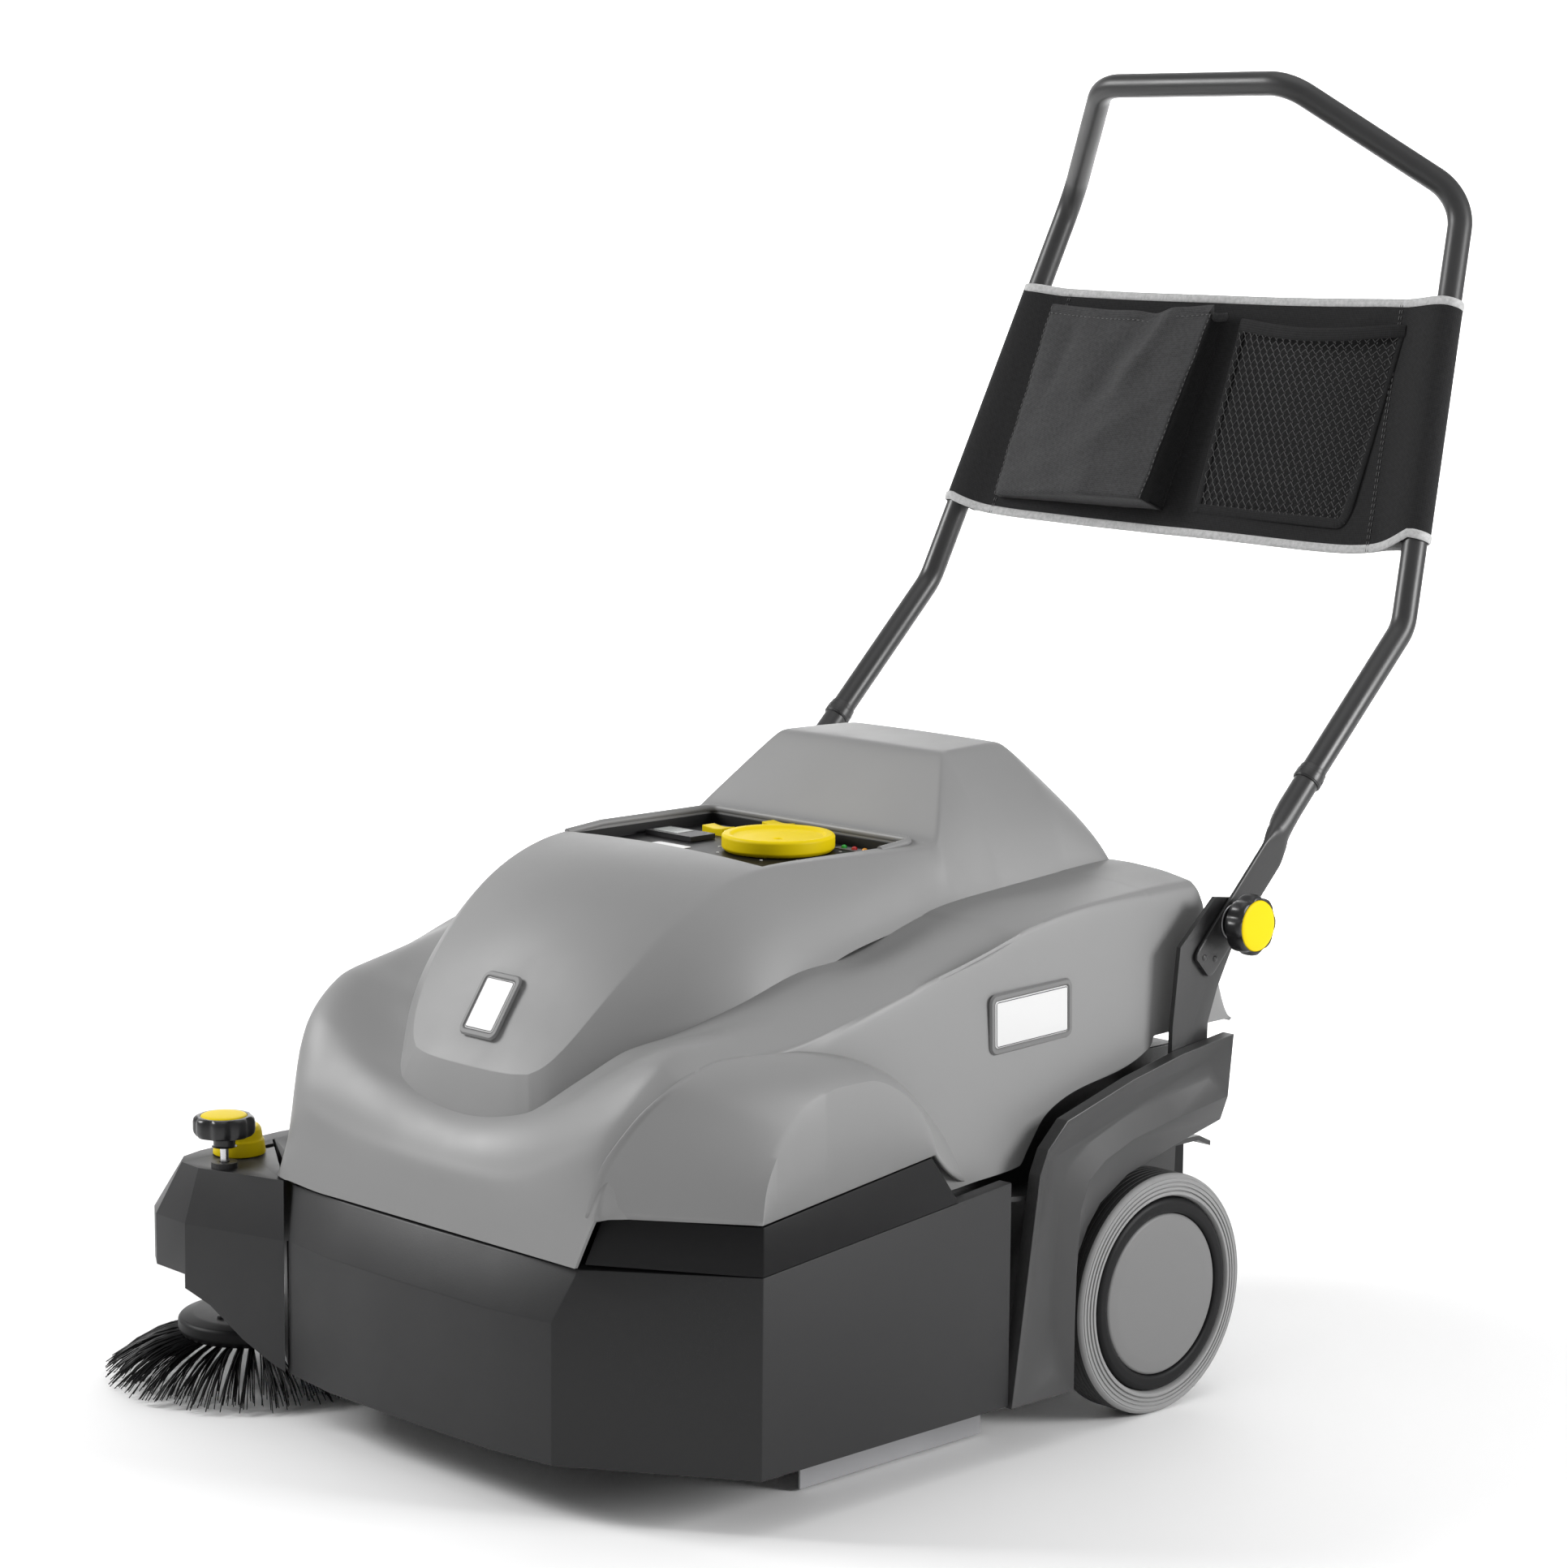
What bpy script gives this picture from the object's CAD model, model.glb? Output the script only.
"""Looks of the walk-behind sweeper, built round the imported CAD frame.

Points are given about the middle of the machine, front towards -Y and its left side towards +X, and
SHIFT takes them to the frame's own origin.
"""

import math
import random

import bmesh
import bpy
import numpy as np
from mathutils import Matrix, Vector


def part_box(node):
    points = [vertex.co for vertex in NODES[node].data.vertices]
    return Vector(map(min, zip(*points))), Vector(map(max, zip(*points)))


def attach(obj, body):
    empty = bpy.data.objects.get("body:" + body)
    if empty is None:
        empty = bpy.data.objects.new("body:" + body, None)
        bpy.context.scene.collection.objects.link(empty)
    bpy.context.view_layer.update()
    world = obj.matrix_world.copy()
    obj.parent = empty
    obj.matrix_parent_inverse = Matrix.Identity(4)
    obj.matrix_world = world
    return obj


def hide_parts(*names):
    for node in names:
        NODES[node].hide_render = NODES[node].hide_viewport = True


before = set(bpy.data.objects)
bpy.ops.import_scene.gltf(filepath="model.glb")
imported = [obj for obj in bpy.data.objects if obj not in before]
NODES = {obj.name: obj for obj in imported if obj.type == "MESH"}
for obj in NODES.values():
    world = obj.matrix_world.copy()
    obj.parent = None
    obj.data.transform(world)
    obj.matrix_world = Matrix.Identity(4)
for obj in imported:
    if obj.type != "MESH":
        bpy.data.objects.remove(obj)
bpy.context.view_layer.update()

SHIFT = Vector((0.0521, -0.2062, 0.0))
SIDES = (("left", 1), ("right", -1))

# Materials


WEAR = 0.06                # how far the roughness strays to either side
BROAD_SCALE = 9.0          # of the slow change of colour and gloss
GRAIN_HEIGHT = 0.0004
WEAVE_HEIGHT = 0.0003


def new_material(name):
    """A material with its nodes and links."""
    material = bpy.data.materials.new(name)
    material.use_nodes = True
    return material, material.node_tree.nodes, material.node_tree.links


def noise(nodes, tree, source, scale, detail):
    made = nodes.new("ShaderNodeTexNoise")
    made.inputs["Scale"].default_value = scale
    made.inputs["Detail"].default_value = detail
    made.inputs["Roughness"].default_value = 0.55
    tree.new(source, made.inputs["Vector"])
    return made.outputs["Fac"]


def ramp(nodes, tree, source, low, high, start=0.3, end=0.7):
    """Maps the source from start..end to low..high."""
    made = nodes.new("ShaderNodeMapRange")
    for name, value in (("From Min", start), ("From Max", end), ("To Min", low), ("To Max", high)):
        made.inputs[name].default_value = value
    tree.new(source, made.inputs["Value"])
    return made.outputs["Result"]


def combined(nodes, tree, operation, first, second):
    made = nodes.new("ShaderNodeMath")
    made.operation = operation
    tree.new(first, made.inputs[0])
    tree.new(second, made.inputs[1])
    return made.outputs[0]


def tint(nodes, tree, factor, colour, dark, light):
    """Mixes a darker and a lighter version of the colour into the base colour."""
    mix = nodes.new("ShaderNodeMix")
    mix.data_type = "RGBA"
    mix.inputs["A"].default_value = (*[c * dark for c in colour], 1)
    mix.inputs["B"].default_value = (*[min(1.0, c * light) for c in colour], 1)
    tree.new(factor, mix.inputs["Factor"])
    tree.new(mix.outputs["Result"], nodes["Principled BSDF"].inputs["Base Color"])


def relief(nodes, tree, height, strength, distance):
    """Bumps the surface by the height."""
    raised = nodes.new("ShaderNodeBump")
    raised.inputs["Strength"].default_value = strength
    raised.inputs["Distance"].default_value = distance
    tree.new(height, raised.inputs["Height"])
    tree.new(raised.outputs["Normal"], nodes["Principled BSDF"].inputs["Normal"])


def moulded(name, colour, roughness, grain, bump, variation, metallic=0.0, specular=0.5):
    """A surface with a fine grain, slight unevenness of colour and of gloss."""
    material, nodes, tree = new_material(name)
    shader = nodes["Principled BSDF"]
    place = nodes.new("ShaderNodeTexCoord").outputs["Object"]
    broad = noise(nodes, tree, place, BROAD_SCALE, 4.0)
    tint(nodes, tree, broad, colour, 1 - variation, 1 + variation)
    tree.new(ramp(nodes, tree, broad, roughness - WEAR, roughness + WEAR), shader.inputs["Roughness"])
    shader.inputs["Metallic"].default_value = metallic
    shader.inputs["Specular IOR Level"].default_value = specular
    relief(nodes, tree, noise(nodes, tree, place, grain, 2.0), bump, GRAIN_HEIGHT)
    return material


def woven(name, colour, thread=1500.0):
    """Plain-weave cloth: two crossed sets of threads with uneven colour."""
    material, nodes, tree = new_material(name)
    shader = nodes["Principled BSDF"]
    place = nodes.new("ShaderNodeTexCoord").outputs["UV"]
    heights = []
    for axis in ("X", "Y"):
        wave = nodes.new("ShaderNodeTexWave")
        wave.bands_direction = axis
        wave.inputs["Scale"].default_value = thread / (2 * math.pi)
        wave.inputs["Distortion"].default_value = 0.6
        wave.inputs["Detail Scale"].default_value = 3.0
        tree.new(place, wave.inputs["Vector"])
        heights.append(wave.outputs["Fac"])
    weave = combined(nodes, tree, "MULTIPLY", *heights)
    mottled = combined(nodes, tree, "ADD", weave, noise(nodes, tree, place, 260.0, 4.0))
    tint(nodes, tree, ramp(nodes, tree, mottled, 0.0, 1.0, 0.35, 1.1), colour, 0.62, 1.45)
    shader.inputs["Roughness"].default_value = 0.85
    shader.inputs["Sheen Weight"].default_value = 0.06
    shader.inputs["Specular IOR Level"].default_value = 0.15
    relief(nodes, tree, weave, 0.5, WEAVE_HEIGHT)
    return material


HOOD_GREY = moulded("hood_grey", (0.215, 0.215, 0.215), 0.50, 1400.0, 0.08, 0.03)
BASE_DARK = moulded("base_anthracite", (0.020, 0.020, 0.0208), 0.44, 1100.0, 0.14, 0.06, specular=0.28)
FENDER_GREY = moulded("fender_grey", (0.034, 0.034, 0.0345), 0.38, 1100.0, 0.12, 0.05, specular=0.40)
BLACK = moulded("black_plastic_look", (0.005, 0.005, 0.0055), 0.45, 900.0, 0.10, 0.08, specular=0.16)
GLOSS_BLACK = moulded("black_knob_look", (0.008, 0.008, 0.009), 0.30, 500.0, 0.04, 0.08)
YELLOW = moulded("yellow_look", (0.74, 0.56, 0.001), 0.45, 700.0, 0.03, 0.03, specular=0.12)
COAT_BLACK = moulded("powder_coat_look", (0.021, 0.021, 0.0215), 0.37, 700.0, 0.18, 0.10, specular=0.48)
ZINC = moulded("zinc_look", (0.60, 0.60, 0.61), 0.28, 400.0, 0.08, 0.06, 1.0)
TYRE = moulded("tyre_look", (0.235, 0.235, 0.235), 0.62, 600.0, 0.20, 0.05)
TREAD = moulded("tread_look", (0.022, 0.022, 0.022), 0.75, 500.0, 0.30, 0.10)
CAP_GREY = moulded("hub_cap_look", (0.150, 0.150, 0.150), 0.50, 1100.0, 0.15, 0.04)
RUBBER = moulded("rubber_look", (0.022, 0.022, 0.022), 0.78, 400.0, 0.25, 0.12)
SEAL = moulded("seal_look", (0.30, 0.30, 0.31), 0.45, 300.0, 0.10, 0.08)
BRISTLE = moulded("bristle_look", (0.006, 0.006, 0.0065), 0.40, 300.0, 0.05, 0.30, specular=0.25)
WHITE = moulded("label_white_look", (0.62, 0.62, 0.62), 0.35, 300.0, 0.02, 0.02)
LABEL_GREY = moulded("label_grey_look", (0.20, 0.20, 0.21), 0.40, 300.0, 0.02, 0.05)
SCREEN = moulded("screen_look", (0.36, 0.38, 0.37), 0.18, 60.0, 0.01, 0.05)
BATTERY = moulded("battery_look", (0.05, 0.055, 0.06), 0.50, 500.0, 0.12, 0.08)
PAPER = moulded("filter_look", (0.50, 0.46, 0.37), 0.90, 500.0, 0.30, 0.08)
ALUMINIUM = moulded("aluminium_look", (0.52, 0.52, 0.53), 0.42, 300.0, 0.20, 0.06, 1.0)
FABRIC = woven("bag_fabric_look", (0.013, 0.013, 0.0135))
FABRIC_LIGHT = woven("bag_pocket_look", (0.040, 0.040, 0.041))
BINDING = woven("binding_look", (0.44, 0.44, 0.44), 2600.0)
NETTING = moulded("netting_look", (0.050, 0.050, 0.050), 0.5, 500.0, 0.10, 0.10)
THREAD = moulded("thread_look", (0.10, 0.10, 0.10), 0.8, 900.0, 0.10, 0.10)
LAMP_GREEN = moulded("lamp_green_look", (0.02, 0.45, 0.05), 0.2, 200.0, 0.02, 0.05)
LAMP_RED = moulded("lamp_red_look", (0.55, 0.02, 0.02), 0.2, 200.0, 0.02, 0.05)
LAMP_AMBER = moulded("lamp_amber_look", (0.75, 0.30, 0.01), 0.2, 200.0, 0.02, 0.05)

# Helpers


def bezier(start, middle, end, t):
    return (1 - t) ** 2 * start + 2 * t * (1 - t) * middle + t * t * end


def outward(bm):
    bmesh.ops.recalc_face_normals(bm, faces=bm.faces)


def linked(name, data):
    """A new object in the scene."""
    obj = bpy.data.objects.new(name, data)
    bpy.context.scene.collection.objects.link(obj)
    return obj


def smooth_mesh(name, bm, angle=None):
    """The bmesh as a smooth mesh; edges over the angle stay sharp."""
    mesh = bpy.data.meshes.new(name)
    bm.to_mesh(mesh)
    bm.free()
    mesh.shade_smooth()
    if angle:
        mesh.set_sharp_from_angle(angle=math.radians(angle))
    return mesh


def new_object(name, mesh, finishes, body, replaces=()):
    """Gives the mesh its finish, or several, and lets it ride on its CAD body."""
    obj = linked(name, mesh)
    for finish in finishes if isinstance(finishes, tuple) else (finishes,):
        mesh.materials.append(finish)
    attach(obj, body)
    if replaces:
        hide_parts(*replaces)
    return obj


def piece(name, bm, finishes, body, replaces=(), angle=40):
    """A piece drawn about the machine's middle, moved to the frame's origin."""
    bm.transform(Matrix.Translation(SHIFT))
    return new_object(name, smooth_mesh(name, bm, angle), finishes, body, replaces)


def add_grid(bm, rows, closed=False):
    """Quads between rows of points; returns the rows of vertices."""
    made = [[bm.verts.new(p) for p in row] for row in rows]
    count = len(rows[0])
    for lower, upper in zip(made, made[1:]):
        for i in range(count if closed else count - 1):
            j = (i + 1) % count
            bm.faces.new((lower[i], lower[j], upper[j], upper[i]))
    return made


def finish_modifiers(obj):
    """Applies the object's modifiers, so that the mesh is final."""
    graph = bpy.context.evaluated_depsgraph_get()
    mesh = bpy.data.meshes.new_from_object(obj.evaluated_get(graph), preserve_all_data_layers=True,
                                           depsgraph=graph)
    obj.modifiers.clear()
    obj.data = mesh


TURN = {"X": Matrix.Rotation(math.pi / 2, 4, "Y"), "Y": Matrix.Rotation(-math.pi / 2, 4, "X"),
        "Z": Matrix.Identity(4)}


def lathe(bm, profile, at, axis="Z", steps=96, flip=False, material=0, lobes=0, dip=0.0):
    """Adds a turned surface through (radius, height) points; the ends may lie on the axis.

    A third number is the point's share of the hollows between the lobes, dip metres deep.
    """
    place = Matrix.Translation(at) @ TURN[axis] @ Matrix.Rotation(math.pi if flip else 0.0, 4, "X")
    rings = []
    for radius, height, *share in profile:
        if radius < 1e-6:
            rings.append([bm.verts.new(place @ Vector((0, 0, height)))])
            continue
        ring = []
        for i in range(steps):
            turn = 2 * math.pi * i / steps
            r = radius
            if share:
                r -= dip * share[0] * (0.5 - 0.5 * math.cos(lobes * turn)) ** 2
            ring.append(bm.verts.new(place @ Vector((r * math.cos(turn), r * math.sin(turn), height))))
        rings.append(ring)
    for lower, upper in zip(rings, rings[1:]):
        for i in range(steps):
            j = (i + 1) % steps
            corners = list(dict.fromkeys([lower[i % len(lower)], lower[j % len(lower)],
                                          upper[j % len(upper)], upper[i % len(upper)]]))
            if len(corners) > 2:
                bm.faces.new(corners).material_index = material


def rounded(profile, radius, steps=4):
    """An open profile whose corners are turned into small arcs."""
    points = [Vector(p) for p in profile]
    made = [points[0]]
    for before, here, after in zip(points, points[1:], points[2:]):
        back, ahead = before - here, after - here
        reach = min(radius, 0.45 * back.length, 0.45 * ahead.length)
        start, end = here + back.normalized() * reach, here + ahead.normalized() * reach
        for k in range(steps + 1):
            t = k / steps
            made.append(start.lerp(here, t).lerp(here.lerp(end, t), t))
    return [tuple(p) for p in [*made, points[-1]]]


def block(bm, low, high):
    verts = [bm.verts.new((x, y, z)) for x in (low[0], high[0]) for y in (low[1], high[1])
             for z in (low[2], high[2])]
    for face in ((0, 1, 3, 2), (4, 6, 7, 5), (0, 4, 5, 1), (2, 3, 7, 6), (0, 2, 6, 4), (1, 5, 7, 3)):
        bm.faces.new([verts[i] for i in face])


def slab(bm, outline, low, high, axis="X", material=0):
    """An outline in the plane square to the axis, X or Z, made into a slab."""
    ends = [[bm.verts.new((w, u, v) if axis == "X" else (u, v, w)) for u, v in outline]
            for w in sorted((low, high))]
    made = [bm.faces.new(ends[0]), bm.faces.new(ends[1])]
    for i in range(len(outline)):
        j = (i + 1) % len(outline)
        made.append(bm.faces.new((ends[0][i], ends[0][j], ends[1][j], ends[1][i])))
    for face in made:
        face.material_index = material
    bmesh.ops.recalc_face_normals(bm, faces=made)


def round_rect(width, height, radius, steps=6, centre=(0.0, 0.0)):
    """A rectangle's outline with round corners."""
    points = []
    for k, (sx, sy) in enumerate(((1, 1), (-1, 1), (-1, -1), (1, -1))):
        cx = centre[0] + sx * (width / 2 - radius)
        cy = centre[1] + sy * (height / 2 - radius)
        for i in range(steps + 1):
            turn = math.radians(90 * (k + i / steps))
            points.append((cx + radius * math.cos(turn), cy + radius * math.sin(turn)))
    return points


def bevel(bm, width, segments=3, angle=30.0):
    """Rounds the edges sharper than the angle."""
    sharp = [e for e in bm.edges if e.is_manifold and e.calc_face_angle(0.0) > math.radians(angle)]
    bmesh.ops.bevel(bm, geom=sharp, offset=width, segments=segments, profile=0.6, affect="EDGES",
                    clamp_overlap=True)


def cad_copy(node):
    """A CAD node's mesh with its coplanar triangles merged."""
    bm = bmesh.new()
    bm.from_mesh(NODES[node].data)
    bmesh.ops.remove_doubles(bm, verts=bm.verts, dist=0.00005)
    bmesh.ops.dissolve_limit(bm, angle_limit=math.radians(1.0), verts=bm.verts, edges=bm.edges)
    return bm


def softened(node, finish, body, width, bm=None, angle=14.0):
    """A CAD node, or the bmesh made from it, with its edges rounded."""
    if bm is None:
        bm = cad_copy(node)
    bevel(bm, width, 2, angle)
    new_object(f"{node}_look", smooth_mesh(f"{node}_look", bm, 26), finish, body, (node,))


def swept(bm, points, radius, sides, caps=True):
    """A round bar along the points."""
    points = [Vector(p) for p in points]
    normal = Vector((0, 0, 1)).cross(points[1] - points[0])
    if normal.length < 1e-9:
        normal = Vector((1, 0, 0))
    rings = []
    for i, point in enumerate(points):
        ahead = (points[min(i + 1, len(points) - 1)] - points[max(i - 1, 0)]).normalized()
        normal = (normal - ahead * normal.dot(ahead)).normalized()
        side = ahead.cross(normal)
        rings.append([point + (normal * math.cos(2 * math.pi * k / sides)
                               + side * math.sin(2 * math.pi * k / sides)) * radius
                      for k in range(sides)])
    made = add_grid(bm, rings, closed=True)
    if caps:
        bm.faces.new(made[0][::-1])
        bm.faces.new(made[-1])


def rounded_route(corners, radius, steps=14):
    """A line through the corners, each turned into an arc of this radius."""
    corners = [Vector(c) for c in corners]
    line = [corners[0]]
    for before, here, after in zip(corners, corners[1:], corners[2:]):
        back = (before - here).normalized()
        ahead = (after - here).normalized()
        half = 0.5 * back.angle(ahead)
        reach = radius / math.tan(half)
        centre = here + (back + ahead).normalized() * (radius / math.sin(half))
        start, end = here + back * reach - centre, here + ahead * reach - centre
        sweep = start.angle(end)
        for k in range(steps + 1):
            t = k / steps
            line.append(centre + (start * math.sin((1 - t) * sweep) + end * math.sin(t * sweep))
                        / math.sin(sweep))
    return line + [corners[-1]]


# Hood


def monotone(t, values, at):
    """Smooth curve through the values that never swings past them."""
    t, values, at = np.asarray(t, float), np.asarray(values, float), np.asarray(at, float)
    step = np.diff(t)
    rate = np.diff(values, axis=0) / step[:, None]
    slope = np.zeros_like(values)
    left, right = rate[:-1], rate[1:]
    w1, w2 = (2 * step[1:] + step[:-1])[:, None], (step[1:] + 2 * step[:-1])[:, None]
    same = left * right > 0
    with np.errstate(divide="ignore", invalid="ignore"):
        slope[1:-1] = np.where(same, (w1 + w2) / (w1 / left + w2 / right), 0.0)
    slope[0], slope[-1] = rate[0], rate[-1]
    k = np.clip(np.searchsorted(t, at, "right") - 1, 0, len(t) - 2)
    h = step[k][:, None]
    s = ((at - t[k])[:, None]) / h
    return ((1 + 2 * s) * (1 - s) ** 2 * values[k] + s * (1 - s) ** 2 * h * slope[k]
            + s * s * (3 - 2 * s) * values[k + 1] + s * s * (s - 1) * h * slope[k + 1])


# Lines of the deck, each as (y, x, z) along its length, from the middle out to the lower edge
DECK_CENTRE = [(-0.262, 0.0, 0.1990), (-0.2605, 0.0, 0.2280), (-0.252, 0.0, 0.2540),
               (-0.241, 0.0, 0.2710), (-0.228, 0.0, 0.2825), (-0.2165, 0.0, 0.2900),
               (-0.190, 0.0, 0.3150), (-0.138, 0.0, 0.3480), (-0.016, 0.0, 0.3890),
               (0.149, 0.0, 0.4160), (0.352, 0.0, 0.4330), (0.393, 0.0, 0.3110)]
DECK_VALLEY = [(-0.262, 0.095, 0.1990), (-0.2605, 0.096, 0.2310), (-0.252, 0.097, 0.2600),
               (-0.241, 0.097, 0.2810), (-0.228, 0.096, 0.2950), (-0.2165, 0.095, 0.3020),
               (-0.190, 0.110, 0.3240), (-0.166, 0.132, 0.3440), (-0.138, 0.151, 0.3545),
               (-0.110, 0.163, 0.3650), (-0.076, 0.172, 0.3770), (-0.016, 0.171, 0.3930),
               (0.024, 0.164, 0.3930), (0.149, 0.157, 0.4200), (0.248, 0.162, 0.4300),
               (0.352, 0.168, 0.4380), (0.393, 0.172, 0.3110)]
DECK_CREST = [(-0.262, 0.140, 0.1990), (-0.2605, 0.158, 0.2480), (-0.252, 0.186, 0.2960),
              (-0.241, 0.200, 0.3240), (-0.228, 0.2065, 0.3440), (-0.2165, 0.209, 0.3540),
              (-0.190, 0.212, 0.3640), (-0.138, 0.214, 0.3670), (-0.091, 0.216, 0.3710),
              (-0.052, 0.217, 0.3800), (0.025, 0.218, 0.3950), (0.149, 0.218, 0.4200),
              (0.248, 0.220, 0.4310), (0.352, 0.222, 0.4360), (0.393, 0.225, 0.3110)]
DECK_SHOULDER = [(-0.262, 0.1745, 0.1990), (-0.2605, 0.193, 0.2390), (-0.252, 0.2085, 0.2780),
                 (-0.241, 0.230, 0.3130), (-0.228, 0.243, 0.3330), (-0.2165, 0.249, 0.3430),
                 (-0.190, 0.250, 0.3510), (-0.138, 0.252, 0.3550), (-0.100, 0.253, 0.3590),
                 (-0.052, 0.254, 0.3700), (0.025, 0.254, 0.3870), (0.097, 0.255, 0.3930),
                 (0.149, 0.255, 0.4180), (0.218, 0.255, 0.4280), (0.352, 0.252, 0.4310),
                 (0.393, 0.256, 0.3110)]
DECK_BROW = [(-0.262, 0.1760, 0.1990), (-0.2605, 0.196, 0.2395), (-0.252, 0.2060, 0.2500),
             (-0.241, 0.217, 0.2700), (-0.228, 0.227, 0.2880), (-0.2165, 0.236, 0.3000),
             (-0.190, 0.245, 0.3100), (-0.138, 0.254, 0.3200), (-0.100, 0.257, 0.3300),
             (-0.052, 0.260, 0.3480), (0.025, 0.2615, 0.3680), (0.149, 0.263, 0.3980),
             (0.218, 0.2635, 0.4080), (0.352, 0.262, 0.4100), (0.393, 0.262, 0.3110)]
DECK_HEM = [(-0.262, 0.1775, 0.1990), (-0.2605, 0.1985, 0.2400), (-0.252, 0.2070, 0.2405),
            (-0.241, 0.216, 0.2405), (-0.228, 0.2255, 0.2405), (-0.2165, 0.233, 0.2405),
            (-0.190, 0.243, 0.2405), (-0.138, 0.254, 0.2405), (-0.100, 0.260, 0.2405),
            (-0.052, 0.265, 0.2405), (0.010, 0.2675, 0.2405), (0.030, 0.2680, 0.2240),
            (0.048, 0.2683, 0.2215), (0.077, 0.2685, 0.2235), (0.130, 0.2685, 0.2275),
            (0.140, 0.2685, 0.2400), (0.160, 0.2685, 0.2640), (0.180, 0.2685, 0.2740),
            (0.289, 0.2685, 0.3020), (0.293, 0.2685, 0.3100), (0.393, 0.2685, 0.3110)]
# The right side is lower in front and has no blister, to make room for the side brush
RIGHT_CREST = [(-0.262, 0.135, 0.1990), (-0.2605, 0.150, 0.2360), (-0.252, 0.168, 0.2700),
               (-0.241, 0.179, 0.2920), (-0.228, 0.188, 0.3140), (-0.2165, 0.192, 0.3290),
               (-0.190, 0.200, 0.3480), (-0.166, 0.206, 0.3575), (-0.138, 0.210, 0.3620),
               (-0.100, 0.214, 0.3690), *DECK_CREST[9:]]
RIGHT_SHOULDER = [(-0.262, 0.1720, 0.2015), (-0.2605, 0.178, 0.2180), (-0.252, 0.186, 0.2300),
                  (-0.241, 0.196, 0.2380), (-0.228, 0.206, 0.2600), (-0.2165, 0.215, 0.2810),
                  (-0.190, 0.233, 0.3090), (-0.166, 0.242, 0.3320), (-0.138, 0.247, 0.3450),
                  (-0.100, 0.251, 0.3520), (-0.052, 0.253, 0.3660), *DECK_SHOULDER[10:]]
RIGHT_BROW = [(-0.262, 0.1740, 0.2015), (-0.2605, 0.1830, 0.2080), (-0.252, 0.1945, 0.2090),
              (-0.241, 0.205, 0.2110), (-0.228, 0.215, 0.2250), (-0.2165, 0.225, 0.2430),
              (-0.190, 0.244, 0.2750), (-0.166, 0.252, 0.2990), (-0.138, 0.256, 0.3140),
              (-0.100, 0.258, 0.3270), (-0.052, 0.260, 0.3450), *DECK_BROW[10:]]
RIGHT_HEM = [(-0.262, 0.1755, 0.2012), (-0.2605, 0.1860, 0.2018), (-0.252, 0.1985, 0.2022),
             (-0.241, 0.209, 0.2026), (-0.228, 0.220, 0.2030), (-0.2165, 0.230, 0.2035),
             (-0.190, 0.250, 0.2045), (-0.138, 0.261, 0.2085), (-0.052, 0.2665, 0.2165),
             (0.010, 0.2680, 0.2220), (0.048, 0.2685, 0.2255), (0.077, 0.2685, 0.2275),
             *DECK_HEM[14:]]
DECK_LEFT = (DECK_CENTRE, DECK_VALLEY, DECK_CREST, DECK_SHOULDER, DECK_BROW, DECK_HEM)
DECK_RIGHT = (DECK_CENTRE, DECK_VALLEY, RIGHT_CREST, RIGHT_SHOULDER, RIGHT_BROW, RIGHT_HEM)
DECK_ROWS = (-0.262, -0.2605, -0.252, -0.241, -0.228, -0.2165, -0.190, -0.166, -0.138, -0.110,
             -0.076, -0.045, -0.016, 0.010, 0.030, 0.048, 0.077, 0.130, 0.140, 0.160, 0.180,
             0.218, 0.255, 0.289, 0.293, 0.335, 0.352, 0.374, 0.393)
UNDERLAP = 0.010                               # how far the deck runs in under the spine
DECK_CORNERS = (0.5, 0.30, 0.34, 0.14, 0.5)    # how widely each line's corner is rounded

# The spine stands on the deck: its upper edge and its foot, as (x, y, z) from the nose's middle back
SPINE_EDGE = [(0.0, -0.2185, 0.3185), (0.030, -0.2182, 0.3187), (0.052, -0.2166, 0.3195),
              (0.068, -0.2130, 0.3215), (0.079, -0.2070, 0.3275), (0.087, -0.2000, 0.3370),
              (0.0945, -0.190, 0.3500), (0.106, -0.165, 0.3815), (0.112, -0.135, 0.4090),
              (0.116, -0.106, 0.4340), (0.119, -0.072, 0.4520), (0.1205, -0.041, 0.4620),
              (0.122, -0.012, 0.4675), (0.1255, 0.040, 0.4675), (0.1310, 0.100, 0.4668),
              (0.1375, 0.150, 0.4662), (0.1390, 0.158, 0.4668), (0.1400, 0.1645, 0.4695),
              (0.1380, 0.170, 0.4750), (0.101, 0.213, 0.5290), (0.0965, 0.219, 0.5342),
              (0.095, 0.226, 0.5350), (0.086, 0.290, 0.5350), (0.084, 0.300, 0.5345),
              (0.088, 0.306, 0.5300), (0.122, 0.340, 0.4830), (0.140, 0.354, 0.4480),
              (0.146, 0.374, 0.3860), (0.150, 0.393, 0.3110)]
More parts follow.
